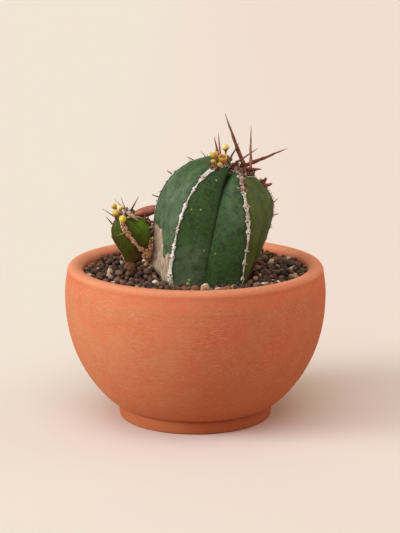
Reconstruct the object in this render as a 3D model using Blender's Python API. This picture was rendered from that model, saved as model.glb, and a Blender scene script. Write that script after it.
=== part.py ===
"""A ribbed euphorbia with one young offset, growing in a shallow terracotta bowl.

Metres, +Z up. The origin is the middle of the foot, on the surface that the bowl stands on.
The plant faces the front, -Y, and leans towards +X.

Places on a stem have two numbers. The turn counts ribs round the stem: 2.0 is the crest of
rib 2, and 2.5 is the groove between ribs 2 and 3. The level runs from 0 at the root tip,
through SOIL_LEVEL at the soil line, to 1 in the middle of the crown.
"""

import math
import random
from collections import namedtuple

import bmesh
import bpy
from mathutils import Vector, noise
from mathutils.bvhtree import BVHTree

MM = 0.001
GAP = 0.35 * MM             # clearance kept between neighbouring pieces

# Bowl
BOWL_HEIGHT = 90.0 * MM
BOWL_RADIUS = 75.0 * MM     # at its widest
WIDEST_HEIGHT = 71.0 * MM
BOWL_REACH = 78.2 * MM      # from the widest height down to where the outer curve would close
BOWL_SQUARENESS = 2.1       # 2 is an ellipse, more is fuller
NECK_REACH = 64.0 * MM      # the same, upwards
INNER_RADIUS = 66.0 * MM
INNER_REACH = 66.0 * MM
FLOOR_HEIGHT = 13.0 * MM
FOOT_RADIUS = 44.1 * MM
FOOT_HEIGHT = 8.2 * MM
FOOT_RING_WIDTH = 8.0 * MM
FOOT_EDGE = 1.2 * MM        # rounding of the foot's bottom edge
FOOT_RECESS = 3.0 * MM
DRAIN_RADIUS = 8.0 * MM
LIP_OUTER_RADIUS = 73.6 * MM
LIP_MIDDLE_RADIUS = 69.1 * MM
LIP_INNER_RADIUS = 64.9 * MM
LIP_RISE = 4.4 * MM         # height of the rounded lip
BOWL_SIDES = 56

# Soil
SOIL_HEIGHT = 82.0 * MM
SOIL_UNEVENNESS = 0.7 * MM
SOIL_TOP_RINGS = 6

# Surface stones
STONE_COUNT = 14
STONE_RADIUS = 2.4 * MM
STONE_RING = 55.0 * MM      # distance of the ring of stones from the bowl's middle
STONE_SEED = 11

# Stems
SOIL_LEVEL = 0.12
BELLY_LEVEL = 0.42
CREST_KEEL = 0.015          # how far a crest stands proud, as a share of the stem's radius
GROOVE_SHARPNESS = 1.5      # 1 is a plain V, more rounds its shoulders
COLUMNS_PER_RIB = 8
MAIN_ROWS = 26
OFFSET_ROWS = 16

# Woody pieces by the offset
NECK_BASE = (-36.5 * MM, -12.5 * MM, 77.0 * MM)
NECK_HEIGHT = 16.0 * MM
NECK_FOOT_RADIUS = 4.4 * MM
NECK_TOP_RADIUS = 4.0 * MM
KNOT_CENTRE = (-27.4 * MM, -17.1 * MM, 97.9 * MM)
KNOT_RADIUS = 3.6 * MM
SHOOT_LENGTH = 17.0 * MM
SHOOT_RADIUS = 3.0 * MM

# Spines and flowers
SPINE_SIDES = 6
SPINE_ROWS = 7
FLOWER_SIDES = 8
STALK_RADIUS = 0.5 * MM

Rib = namedtuple(
    "Rib",
    "foot_azimuth belly_azimuth crown_azimuth foot_radius belly_radius belly_height top_height "
    "groove_place groove_share groove_onset roundness squareness",
)
Stem = namedtuple(
    "Stem",
    "name axis ribs root_depth crown_radius crown_height core_height foot_groove crown_groove "
    "face_bulge swelling",
)
Swelling = namedtuple("Swelling", "turn level turn_reach level_reach height")
Spine = namedtuple("Spine", "name turn level length azimuth elevation radius bend")
Cyathium = namedtuple("Cyathium", "name turn level lift azimuth elevation width is_open")


def mm(*values):
    """Millimetres as a tuple of metres."""
    return tuple(value * MM for value in values)


def rib(azimuths, radii, heights, groove=(0.5, 1.0, 0.0), roundness=0.0, squareness=2.4):
    """A rib from degrees and millimetres; azimuth 0 faces the front and +90 faces +X.

    The groove towards the next rib has a place across the face, a share of the stem's full
    groove depth, and an onset, which is how far up the face it starts to open. The squareness is
    that of the rib's shoulder: 2 is an ellipse, more is fuller.
    """
    return Rib(*azimuths, *mm(*radii), *mm(*heights), *groove, roundness, squareness)


MAIN_STEM = Stem(
    name="main_stem",
    axis=(mm(7, -8, 84), mm(7.5, -8.5, 120), mm(33, -12, 171)),
    ribs=(
        rib((-92, -92, -92), (27.2, 34.5), (32.8, 67.8), (0.5, 0.1, 0.3), 0.05, 2.0),
        rib((-39, -37.5, -39), (33.8, 34.0), (24, 66.5), (0.51, 1.0, 0.22), 0.04),
        rib((34, 32.5, 13.5), (33.3, 34.0), (24, 64.5), (0.5, 0.12, 0.25), 0.04),
        rib((98, 98, 98), (25.0, 31.2), (36, 64), squareness=2.6),
        rib((156, 156, 156), (27, 32), (30, 65.5)),
        rib((208, 208, 208), (27, 33), (29, 66)),
    ),
    root_depth=11 * MM,
    crown_radius=13 * MM,
    crown_height=61.3 * MM,
    core_height=34 * MM,
    foot_groove=0.02,
    crown_groove=0.27,
    face_bulge=0.03,
    swelling=Swelling(-0.05, 0.18, 0.45, 0.038, 2.9 * MM),
)
OFFSET_STEM = Stem(
    name="offset_stem",
    axis=(mm(-28, -12, 99), mm(-37.5, -12.5, 111), mm(-38, -13, 117)),
    ribs=(
        rib((-90, -85, -80), (14, 12), (8, 22), (0.5, 0.3, 0.3), 0.03, 3.0),
        rib((-1, -5, -33), (7, 10.5), (10, 25.5), (0.5, 0.3, 0.3), 0.05),
        rib((85, 95, 95), (1, 11.4), (10, 26), squareness=1.8),
        rib((160, 165, 170), (5, 11), (12, 28)),
        rib((215, 220, 225), (8, 10.5), (10, 26)),
    ),
    root_depth=3 * MM,
    crown_radius=6 * MM,
    crown_height=24 * MM,
    core_height=14 * MM,
    foot_groove=0.05,
    crown_groove=0.22,
    face_bulge=0.06,
    swelling=None,
)


def spine(name, turn, level, length, azimuth, elevation, radius, bend=0.0):
    """A dried flower stalk: length, base radius and sideways bend in millimetres."""
    return Spine(name, turn, level, length * MM, azimuth, elevation, radius * MM, bend * MM)


def cyathium(name, turn, level, lift, azimuth, elevation, width, is_open=False):
    """A flower or bud: height of its middle above the crest and its width in millimetres."""
    return Cyathium(name, turn, level, lift * MM, azimuth, elevation, width * MM, is_open)


MAIN_SPINES = (
    spine("crown_spine_tall", 4, 0.88, 30.9, -106, 69, 1.45, 0.8),
    spine("crown_spine_upright", 3.1, 0.90, 27.5, 178, 84, 1.05, 0.2),
    spine("crown_spine_long_right", 4, 0.85, 26.7, 85, 23, 1.3, -0.5),
    spine("crown_spine_crossing", 4.87, 0.955, 19.4, 74, 35, 0.8),
    spine("crown_spine_wedge", 2.75, 0.925, 9.2, 60, 5, 1.5),
    spine("crown_spine_dark", 2, 0.97, 11.9, -51, 57, 0.8),
    spine("crown_spine_faint", 5, 0.93, 12.6, 123, 54, 0.7),
    spine("crown_spine_back_left", 5, 0.81, 12.5, -139, 71, 0.85),
    spine("crown_spine_back_right", 5.1, 0.85, 13.9, -150, 80, 0.8),
    spine("crown_spine_slender", 1, 0.80, 13.3, -73, 59, 0.55, 0.6),
    spine("crown_spine_short", 0, 0.88, 4.8, -57, 68, 0.35),
    spine("right_stub_upper", 3, 0.80, 3.6, 28, 50, 1.1),
    spine("right_stub_lower", 3, 0.765, 3.4, 70, 20, 0.95),
    spine("left_spine_upper", 0, 0.735, 4.2, -90, 26, 0.35),
    spine("left_spine_middle", 0, 0.595, 3.4, -80, 36, 0.4),
    spine("left_spine_lower", 0, 0.455, 3.6, -80, 22, 0.4),
    spine("right_spine_upper", 3, 0.60, 4.0, 60, 50, 0.35),
    spine("right_spine_lower", 3, 0.49, 2.8, 90, 16, 0.35),
)
OFFSET_SPINES = (
    spine("offset_spine_left", 4.85, 0.84, 10.0, -96, 31, 0.45),
    spine("offset_spine_low_left", 0, 0.76, 5.8, -80, 50, 0.45),
    spine("offset_spine_back_left", 4, 0.82, 7.2, -95, 43, 0.35),
    spine("offset_spine_back", 4, 0.85, 6.7, -112, 67, 0.35),
    spine("offset_spine_dark", 3, 0.97, 10.8, 101, 60, 0.65, -0.5),
    spine("offset_spine_front", 1, 0.56, 6.3, -74, -21, 0.5),
    spine("offset_spine_right", 2, 0.50, 3.6, 40, 8, 0.45),
)
MAIN_CYATHIA = (
    cyathium("open_flower_left", 1, 0.84, 6.7, -96, 77, 4.9, is_open=True),
    cyathium("open_flower_front", 1, 0.885, 3.9, 8, 64, 5.6, is_open=True),
    cyathium("flower_bud_tall", 5, 0.89, 6.5, -4, 72, 4.0),
    cyathium("flower_bud_small_left", 1, 0.815, 4.0, -25, 75, 2.4),
    cyathium("flower_bud_small_right", 1, 0.86, 3.3, 6, 16, 2.7),
)
OFFSET_CYATHIA = (
    cyathium("offset_bud_upper_left", 4.75, 0.88, 6.0, -109, 58, 3.5),
    cyathium("offset_bud_upper_right", 0, 0.95, 3.4, -136, 75, 3.3),
    cyathium("offset_bud_middle", 0.35, 0.79, 4.3, 15, 69, 4.1),
    cyathium("offset_bud_front", 1, 0.76, 3.2, 8, 3, 4.1),
)


# ---------------------------------------------------------------- helpers


def make_material(name, colour, roughness):
    material = bpy.data.materials.new(name)
    material.use_nodes = True
    shader = material.node_tree.nodes["Principled BSDF"]
    shader.inputs["Base Color"].default_value = (*colour, 1.0)
    shader.inputs["Roughness"].default_value = roughness
    shader.inputs["Metallic"].default_value = 0.0
    return material


def add_object(name, shape, material, location=(0.0, 0.0, 0.0), turn=None):
    """An object from a bmesh, shaded smooth, placed by its location and rotation."""
    mesh = bpy.data.meshes.new(name)
    shape.to_mesh(mesh)
    shape.free()
    mesh.shade_smooth()
    mesh.materials.append(material)
    piece = bpy.data.objects.new(name, mesh)
    bpy.context.collection.objects.link(piece)
    piece.location = location
    if turn is not None:
        piece.rotation_euler = turn.to_euler()
    return piece


def heading(azimuth, elevation):
    """Unit direction: azimuth 0 is the front, +90 is +X, and elevation is above level."""
    side = math.radians(azimuth)
    rise = math.radians(elevation)
    return Vector(
        (math.sin(side) * math.cos(rise), -math.cos(side) * math.cos(rise), math.sin(rise))
    )


def turned(outline, sides):
    """A body turned about Z from a closed outline, or from one that runs from axis to axis."""
    shape = bmesh.new()
    points = [shape.verts.new((radius, 0.0, height)) for radius, height in outline]
    following = points[1:] + points[:1]
    edges = [
        shape.edges.new(pair)
        for pair in zip(points, following)
        if pair[0].co.x > 0.0 or pair[1].co.x > 0.0
    ]
    bmesh.ops.spin(
        shape,
        geom=points + edges,
        cent=(0.0, 0.0, 0.0),
        axis=(0.0, 0.0, 1.0),
        angle=math.tau,
        steps=sides,
        use_merge=True,
    )
    bmesh.ops.remove_doubles(shape, verts=shape.verts, dist=0.001 * MM)
    bmesh.ops.recalc_face_normals(shape, faces=shape.faces)
    return shape


def superellipse(angle, squareness):
    """(across, along) on a unit superellipse quarter: (1, 0) at 0 and (0, 1) at a right angle."""
    power = 2.0 / squareness
    across = max(math.cos(angle), 0.0) ** power
    along = max(math.sin(angle), 0.0) ** power
    return across, along


def superellipse_angle(along, squareness):
    """The angle whose point lies that far along the quarter."""
    return math.asin(along ** (squareness / 2.0))


# ---------------------------------------------------------------- bowl and soil


def wall_curve(radius, reach, lowest, steps):
    """(radius, height) points up one face of the wall, from the lowest height to the widest."""
    share = (WIDEST_HEIGHT - lowest) / reach
    start = superellipse_angle(share, BOWL_SQUARENESS)
    points = []
    for step in range(steps + 1):
        across, along = superellipse(start * (1.0 - step / steps), BOWL_SQUARENESS)
        points.append((radius * across, WIDEST_HEIGHT - reach * along))
    return points


def inner_wall(lowest, steps):
    """The inner face, from the lowest height up to where the lip's rounding begins."""
    points = wall_curve(INNER_RADIUS, INNER_REACH, lowest, steps)
    lip_base = BOWL_HEIGHT - LIP_RISE
    points.append(((INNER_RADIUS + LIP_INNER_RADIUS) / 2.0, (WIDEST_HEIGHT + lip_base) / 2.0))
    return points


def lip_curve(steps):
    """Over the lip, from the outer face to the inner one."""
    points = []
    for step in range(steps + 1):
        angle = math.pi * step / steps
        edge = LIP_OUTER_RADIUS if angle < math.pi / 2.0 else LIP_INNER_RADIUS
        spread = abs(edge - LIP_MIDDLE_RADIUS)
        points.append(
            (
                LIP_MIDDLE_RADIUS + spread * math.cos(angle),
                BOWL_HEIGHT - LIP_RISE + LIP_RISE * math.sin(angle),
            )
        )
    return points


def foot_curve(steps):
    """The foot ring, from the drain hole out across the recess and up the foot's side."""
    ring_inner = FOOT_RADIUS - FOOT_RING_WIDTH
    points = [
        (DRAIN_RADIUS, FOOT_RECESS),
        (ring_inner - FOOT_EDGE, FOOT_RECESS),
        (ring_inner, 0.0),
    ]
    for step in range(steps + 1):
        angle = math.pi / 2.0 * (1.0 - step / steps)
        points.append(
            (
                FOOT_RADIUS - FOOT_EDGE + FOOT_EDGE * math.cos(angle),
                FOOT_EDGE - FOOT_EDGE * math.sin(angle),
            )
        )
    points.append((FOOT_RADIUS, FOOT_HEIGHT - 0.4 * MM))
    points.append((FOOT_RADIUS + 1.6 * MM, FOOT_HEIGHT - 0.2 * MM))
    return points


def make_bowl(material):
    outer = wall_curve(BOWL_RADIUS, BOWL_REACH, FOOT_HEIGHT + 0.6 * MM, 8)
    shoulder_height = (WIDEST_HEIGHT + BOWL_HEIGHT - LIP_RISE) / 2.0
    rise = superellipse_angle((shoulder_height - WIDEST_HEIGHT) / NECK_REACH, BOWL_SQUARENESS)
    shoulder = (BOWL_RADIUS * superellipse(rise, BOWL_SQUARENESS)[0], shoulder_height)
    inner = inner_wall(FLOOR_HEIGHT, 7)
    outline = foot_curve(3) + outer + [shoulder] + lip_curve(8) + inner[::-1]
    outline.append((DRAIN_RADIUS, FLOOR_HEIGHT))
    return add_object("terracotta_bowl", turned(outline, BOWL_SIDES), material)


def soil_surface(x, y):
    """Height of the soil's uneven top at a place."""
    lumps = noise.noise(Vector((x, y, 0.0)) * 90.0) + 0.6 * noise.noise(Vector((y, x, 7.0)) * 210.0)
    return SOIL_HEIGHT + SOIL_UNEVENNESS * lumps


def make_soil(material):
    """Soil that fills the bowl, uneven on top, and a tree of its top for setting things on."""
    wall = [
        (radius - GAP, height)
        for radius, height in wall_curve(INNER_RADIUS, INNER_REACH, FLOOR_HEIGHT + GAP, 7)
    ]
    outline = [(0.0, FLOOR_HEIGHT + GAP)] + wall
    edge_radius = (INNER_RADIUS + LIP_INNER_RADIUS) / 2.0 - GAP
    for ring in range(SOIL_TOP_RINGS):
        outline.append((edge_radius * (1.0 - ring / SOIL_TOP_RINGS), SOIL_HEIGHT))
    outline.append((0.0, SOIL_HEIGHT))
    shape = turned(outline, BOWL_SIDES)
    for vert in shape.verts:
        on_top = vert.co.z > SOIL_HEIGHT - 0.1 * MM
        if on_top and vert.co.xy.length < edge_radius - MM:
            vert.co.z = soil_surface(vert.co.x, vert.co.y)
    top = BVHTree.FromBMesh(shape)
    soil = add_object("potting_soil", shape, material)
    return soil, top


def make_stones(material, soil_top):
    """Rounded stones in a loose ring, each set down a gap above the uneven soil."""
    dice = random.Random(STONE_SEED)
    for number in range(STONE_COUNT):
        shape = bmesh.new()
        bmesh.ops.create_icosphere(shape, subdivisions=2, radius=STONE_RADIUS)
        stretch = Vector((dice.uniform(0.95, 1.2), dice.uniform(0.85, 1.1), dice.uniform(0.75, 0.95)))
        for vert in shape.verts:
            lump = 1.0 + 0.16 * noise.noise(vert.co * 300.0 + Vector((0.0, 0.0, 9.0 * number)))
            vert.co = vert.co * stretch * lump
        around = math.tau * (number + dice.uniform(-0.25, 0.25)) / STONE_COUNT
        distance = STONE_RING + dice.uniform(-4.5, 4.5) * MM
        x = distance * math.cos(around)
        y = distance * math.sin(around)
        clearance = min(
            vert.co.z - soil_top.ray_cast(Vector((x, y, 1.0)) + vert.co, (0.0, 0.0, -1.0))[0].z
            for vert in shape.verts
        )
        add_object(f"stone_{number + 1:02d}", shape, material, (x, y, GAP - clearance))


# ---------------------------------------------------------------- stems


def axis_frame(stem, height):
    """Point, right, back and up directions on the stem's curved axis, a height up along it."""
    start, bend, end = (Vector(point) for point in stem.axis)
    run = 2.0 * (bend - start)
    swing = end - 2.0 * bend + start
    along = height / run.length
    for _ in range(3):
        along = height / (run + swing * along).length if height > 0.0 else along
    along_curve = max(along, 0.0)
    point = start + run * along_curve + swing * along_curve**2
    up = (run + 2.0 * swing * along_curve).normalized()
    if height < 0.0:
        point = point + up * height
    back = (Vector((0.0, 1.0, 0.0)) - up * up.y).normalized()
    right = back.cross(up)
    return point, right, back, up


def ridge_point(stem, number, level):
    """Place of a rib's crest at a level, and its height along the axis."""
    edge = stem.ribs[number % len(stem.ribs)]
    if level < SOIL_LEVEL:
        angle = math.pi / 2.0 * level / SOIL_LEVEL
        radius = edge.foot_radius * math.sin(angle)
        height = -stem.root_depth * math.cos(angle)
        azimuth = edge.foot_azimuth
    elif level < BELLY_LEVEL:
        share = (level - SOIL_LEVEL) / (BELLY_LEVEL - SOIL_LEVEL)
        swell = math.sin(math.pi / 2.0 * share)
        radius = edge.foot_radius + (edge.belly_radius - edge.foot_radius) * swell
        height = edge.belly_height * share
        ease = share * share * (3.0 - 2.0 * share)
        azimuth = edge.foot_azimuth + (edge.belly_azimuth - edge.foot_azimuth) * ease
    else:
        share = (level - BELLY_LEVEL) / (1.0 - BELLY_LEVEL)
        across, along = superellipse(math.pi / 2.0 * share, edge.squareness)
        radius = edge.belly_radius * across
        height = edge.belly_height + (edge.top_height - edge.belly_height) * along
        azimuth = edge.belly_azimuth + (edge.crown_azimuth - edge.belly_azimuth) * along**2
        sunk = 1.0 - min(radius / stem.crown_radius, 1.0) ** 2
        height += (stem.crown_height - height) * sunk**2
    point, right, back, _ = axis_frame(stem, height)
    side = math.radians(azimuth)
    return point + radius * (math.sin(side) * right - math.cos(side) * back), height


def groove_depth(stem, edge, level):
    """Depth of the groove after a rib at a level, as a share of the way to the stem's core."""
    share = max(0.0, (level - SOIL_LEVEL) / (1.0 - SOIL_LEVEL))
    opened = max(0.0, (share - edge.groove_onset) / (1.0 - edge.groove_onset))
    ease = opened * opened * (3.0 - 2.0 * opened)
    depth = stem.foot_groove + (stem.crown_groove - stem.foot_groove) * ease
    foot = math.sin(math.pi / 2.0 * min(1.0, level / SOIL_LEVEL))
    top = math.sqrt(min(1.0, (1.0 - share) / 0.12))
    return edge.groove_share * depth * foot * top


def swelling_at(stem, turn, level):
    """How far the old wood of the stem's foot swells out there."""
    if stem.swelling is None:
        return 0.0
    half_turn = len(stem.ribs) / 2.0
    away = (turn - stem.swelling.turn + half_turn) % len(stem.ribs) - half_turn
    across = away / stem.swelling.turn_reach
    up = abs(level - stem.swelling.level) / stem.swelling.level_reach
    return stem.swelling.height * math.exp(-(across**2) - up**3)


def stem_point(stem, turn, level):
    """A place on the stem's surface, between two crests and down into the groove they share."""
    number = math.floor(turn + 1e-6)
    across = turn - number
    near, near_height = ridge_point(stem, number, level)
    far, far_height = ridge_point(stem, number + 1, level)
    edge = stem.ribs[number % len(stem.ribs)]
    if across < 0.5:
        mix = 2.0 * across * edge.groove_place
    else:
        mix = edge.groove_place + (2.0 * across - 1.0) * (1.0 - edge.groove_place)
    chord = near.lerp(far, mix)
    height = near_height + (far_height - near_height) * mix
    core = axis_frame(stem, min(height, stem.core_height))[0]
    depth = 1.0 - abs(2.0 * across - 1.0)
    bulge = stem.face_bulge * math.sin(math.pi * depth) + edge.roundness * depth * (2.0 - depth)
    push = bulge * min(1.0, level / SOIL_LEVEL)
    push -= groove_depth(stem, edge, level) * depth**GROOVE_SHARPNESS
    if depth < 0.01:
        push += CREST_KEEL
    outward = chord - core
    return chord + push * outward + swelling_at(stem, turn, level) * outward.normalized()


def stem_shape(stem, rows, grow=0.0):
    """A sphere reshaped into the stem, optionally grown outwards to make a cutter."""
    shape = bmesh.new()
    columns = COLUMNS_PER_RIB * len(stem.ribs)
    bmesh.ops.create_uvsphere(shape, u_segments=columns, v_segments=rows, radius=1.0)
    for vert in shape.verts:
        around = math.atan2(vert.co.y, vert.co.x) / math.tau
        column = round(around * columns) % columns
        level = 1.0 - math.acos(max(-1.0, min(1.0, vert.co.z))) / math.pi
        vert.co = stem_point(stem, column / COLUMNS_PER_RIB, level)
    shape.normal_update()
    if grow:
        moves = [vert.normal * grow for vert in shape.verts]
        for vert, move in zip(shape.verts, moves):
            vert.co += move
    return shape


def surface_normal(stem, turn, level):
    """Outward direction at a place on the stem."""
    step = 0.02
    round_way = stem_point(stem, turn + 0.25, level) - stem_point(stem, turn - 0.25, level)
    up_way = stem_point(stem, turn, min(level + step, 1.0)) - stem_point(stem, turn, level - step)
    return round_way.cross(up_way).normalized()


# ---------------------------------------------------------------- woody pieces


def cut_away(piece, name, shape, material):
    """Cut a shape out of a piece, with the cutter kept as a hidden guide."""
    cutter = add_object(name, shape, material)
    cutter.hide_render = True
    cutter.display_type = "WIRE"
    cut = piece.modifiers.new(name, "BOOLEAN")
    cut.operation = "DIFFERENCE"
    cut.object = cutter


def neck_shape(grow=0.0):
    """The offset's woody neck, from the soil up to its underside."""
    shape = bmesh.new()
    bmesh.ops.create_cone(
        shape,
        cap_ends=True,
        segments=12,
        radius1=NECK_FOOT_RADIUS + grow,
        radius2=NECK_TOP_RADIUS + grow,
        depth=NECK_HEIGHT + 2.0 * grow,
    )
    middle = Vector(NECK_BASE) + Vector((0.0, 0.0, NECK_HEIGHT / 2.0))
    bmesh.ops.translate(shape, verts=shape.verts, vec=middle)
    return shape


def knot_shape():
    """The corky lump where the offset joins the main stem."""
    shape = bmesh.new()
    bmesh.ops.create_icosphere(shape, subdivisions=2, radius=KNOT_RADIUS)
    for vert in shape.verts:
        vert.co *= 1.0 + 0.2 * noise.noise(vert.co * 350.0)
    bmesh.ops.translate(shape, verts=shape.verts, vec=KNOT_CENTRE)
    return shape


def drawn_out(sides, rows, length, radius_at, bend=0.0):
    """A sphere drawn out along +Z, with its radius given along its length."""
    shape = bmesh.new()
    bmesh.ops.create_uvsphere(shape, u_segments=sides, v_segments=rows, radius=1.0)
    for vert in shape.verts:
        share = (1.0 + vert.co.z) / 2.0
        outward = vert.co.xy.normalized() if vert.co.xy.length > 1e-6 else vert.co.xy * 0.0
        radius = radius_at(share)
        sway = bend * 4.0 * share * (1.0 - share)
        vert.co = (outward.x * radius + sway, outward.y * radius, share * length)
    return shape


def spine_radius(share):
    """Radius along a spine, as a share of its base radius: round foot, long thin taper."""
    foot = math.sqrt(min(share / 0.05, 1.0))
    return foot * (1.0 - share) ** 0.8


def shoot_radius(share):
    """Radius along a dried shoot: blunt at both ends."""
    return (4.0 * share * (1.0 - share)) ** 0.35


def stand_on(stem, turn, level, radius):
    """Where a piece of that radius stands on the stem's surface, clear by the gap."""
    lift = GAP + 0.9 * radius
    return stem_point(stem, turn, level) + surface_normal(stem, turn, level) * lift


def facing(azimuth, elevation):
    """Rotation that takes +Z to a direction."""
    return heading(azimuth, elevation).to_track_quat("Z", "Y")


def make_spines(stem, spines, material):
    for item in spines:
        shape = drawn_out(
            SPINE_SIDES,
            SPINE_ROWS,
            item.length,
            lambda share: item.radius * spine_radius(share),
            item.bend,
        )
        place = stand_on(stem, item.turn, item.level, item.radius)
        add_object(item.name, shape, material, place, facing(item.azimuth, item.elevation))


def flower_outline(item):
    """Half outline of a cyathium on its stalk, from the foot to the top of its middle."""
    half = item.width / 2.0
    outline = [(0.0, 0.0), (STALK_RADIUS, 0.0), (STALK_RADIUS, item.lift - 0.9 * half)]
    if item.is_open:
        shape = ((0.75, -0.6), (1.0, 0.15), (0.95, 0.5), (0.65, 0.35), (0.0, 0.2))
    else:
        shape = ((0.75, -0.6), (1.0, 0.0), (0.75, 0.65), (0.0, 1.0))
    outline += [(across * half, item.lift + along * half) for across, along in shape]
    return outline


def make_flowers(stem, flowers, material):
    for item in flowers:
        shape = turned(flower_outline(item), FLOWER_SIDES)
        place = stand_on(stem, item.turn, item.level, STALK_RADIUS)
        add_object(item.name, shape, material, place, facing(item.azimuth, item.elevation))


# ---------------------------------------------------------------- build

for old in list(bpy.data.objects):
    bpy.data.objects.remove(old, do_unlink=True)

terracotta = make_material("terracotta", (0.55, 0.20, 0.10), 0.85)
soil_mix = make_material("soil", (0.06, 0.04, 0.03), 0.95)
old_skin = make_material("stem_green", (0.07, 0.14, 0.07), 0.6)
young_skin = make_material("offset_green", (0.09, 0.20, 0.04), 0.55)

bark = make_material("dry_bark", (0.28, 0.12, 0.07), 0.9)
horn = make_material("spine_brown", (0.20, 0.06, 0.05), 0.55)
petal = make_material("cyathium_yellow", (0.75, 0.50, 0.08), 0.6)
grit = make_material("grit", (0.22, 0.16, 0.13), 0.9)

make_bowl(terracotta)
soil, soil_top = make_soil(soil_mix)
make_stones(grit, soil_top)
add_object(MAIN_STEM.name, stem_shape(MAIN_STEM, MAIN_ROWS), old_skin)
add_object(OFFSET_STEM.name, stem_shape(OFFSET_STEM, OFFSET_ROWS), young_skin)
cut_away(soil, "main_stem_pocket", stem_shape(MAIN_STEM, MAIN_ROWS, GAP), soil_mix)
cut_away(soil, "offset_neck_pocket", neck_shape(GAP), soil_mix)

neck = add_object("offset_neck", neck_shape(), bark)
cut_away(neck, "neck_seat", stem_shape(OFFSET_STEM, OFFSET_ROWS, GAP), bark)
knot = add_object("offset_knot", knot_shape(), bark)
cut_away(knot, "knot_seat_offset", stem_shape(OFFSET_STEM, OFFSET_ROWS, GAP), bark)
cut_away(knot, "knot_seat_main", stem_shape(MAIN_STEM, MAIN_ROWS, GAP), bark)
shoot = drawn_out(10, 8, SHOOT_LENGTH, lambda share: SHOOT_RADIUS * shoot_radius(share))
shoot_foot = stand_on(MAIN_STEM, 5.8, 0.40, 0.5 * SHOOT_RADIUS)
add_object("dried_side_shoot", shoot, bark, shoot_foot, facing(-95, -18))

make_spines(MAIN_STEM, MAIN_SPINES, horn)
make_spines(OFFSET_STEM, OFFSET_SPINES, horn)
make_flowers(MAIN_STEM, MAIN_CYATHIA, petal)
make_flowers(OFFSET_STEM, OFFSET_CYATHIA, petal)
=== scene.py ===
# %% [markdown]
# # A potted euphorbia
# This lesson dresses a small ribbed euphorbia with one young offset, growing in a shallow
# terracotta bowl. The plain CAD model is loaded first and never changed. It gives every size and
# place. Each later step puts a finer piece where a plain solid is and gives it a finish made
# from shader nodes, so nothing here needs a picture file.

# %% Load the CAD model
import functools
import math
import random
from collections import namedtuple

import bmesh
import bpy
import numpy as np
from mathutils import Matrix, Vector, noise
from mathutils.bvhtree import BVHTree
from mathutils.kdtree import KDTree


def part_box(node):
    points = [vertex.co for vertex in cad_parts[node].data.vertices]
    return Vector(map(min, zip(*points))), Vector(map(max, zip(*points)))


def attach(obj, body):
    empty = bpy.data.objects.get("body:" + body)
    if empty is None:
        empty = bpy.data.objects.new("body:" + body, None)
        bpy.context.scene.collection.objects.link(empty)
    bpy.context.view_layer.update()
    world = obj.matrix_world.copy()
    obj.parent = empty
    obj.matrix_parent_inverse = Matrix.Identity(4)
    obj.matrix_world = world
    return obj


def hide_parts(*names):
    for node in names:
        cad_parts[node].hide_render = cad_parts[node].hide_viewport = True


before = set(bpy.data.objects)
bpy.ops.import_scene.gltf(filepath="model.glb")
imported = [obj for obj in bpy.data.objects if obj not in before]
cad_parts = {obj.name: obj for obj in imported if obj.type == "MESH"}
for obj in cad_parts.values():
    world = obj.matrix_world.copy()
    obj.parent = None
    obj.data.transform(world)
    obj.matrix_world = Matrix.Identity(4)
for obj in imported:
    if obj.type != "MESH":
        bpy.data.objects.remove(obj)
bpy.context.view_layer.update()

MM = 0.001

# %% [markdown]
# ## Node recipes
# A material is a tree of nodes. Writing every node and link by hand is long, so a small recipe
# class adds a node, sets it and links its inputs in one call. An input that is given a socket is
# linked, and anything else is a plain value. Most finishes here are thin layers of colour over
# one another, as real surfaces are: each layer is a mask, how strongly it shows, and a colour.

# %% A short way to write node trees
def screen(red, green, blue):
    """A colour as a screen shows it, from 0 to 255, in the linear values that shaders use."""
    shares = [value / 255.0 for value in (red, green, blue)]
    linear = [s / 12.92 if s <= 0.04045 else ((s + 0.055) / 1.055) ** 2.4 for s in shares]
    return (*linear, 1.0)


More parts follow.
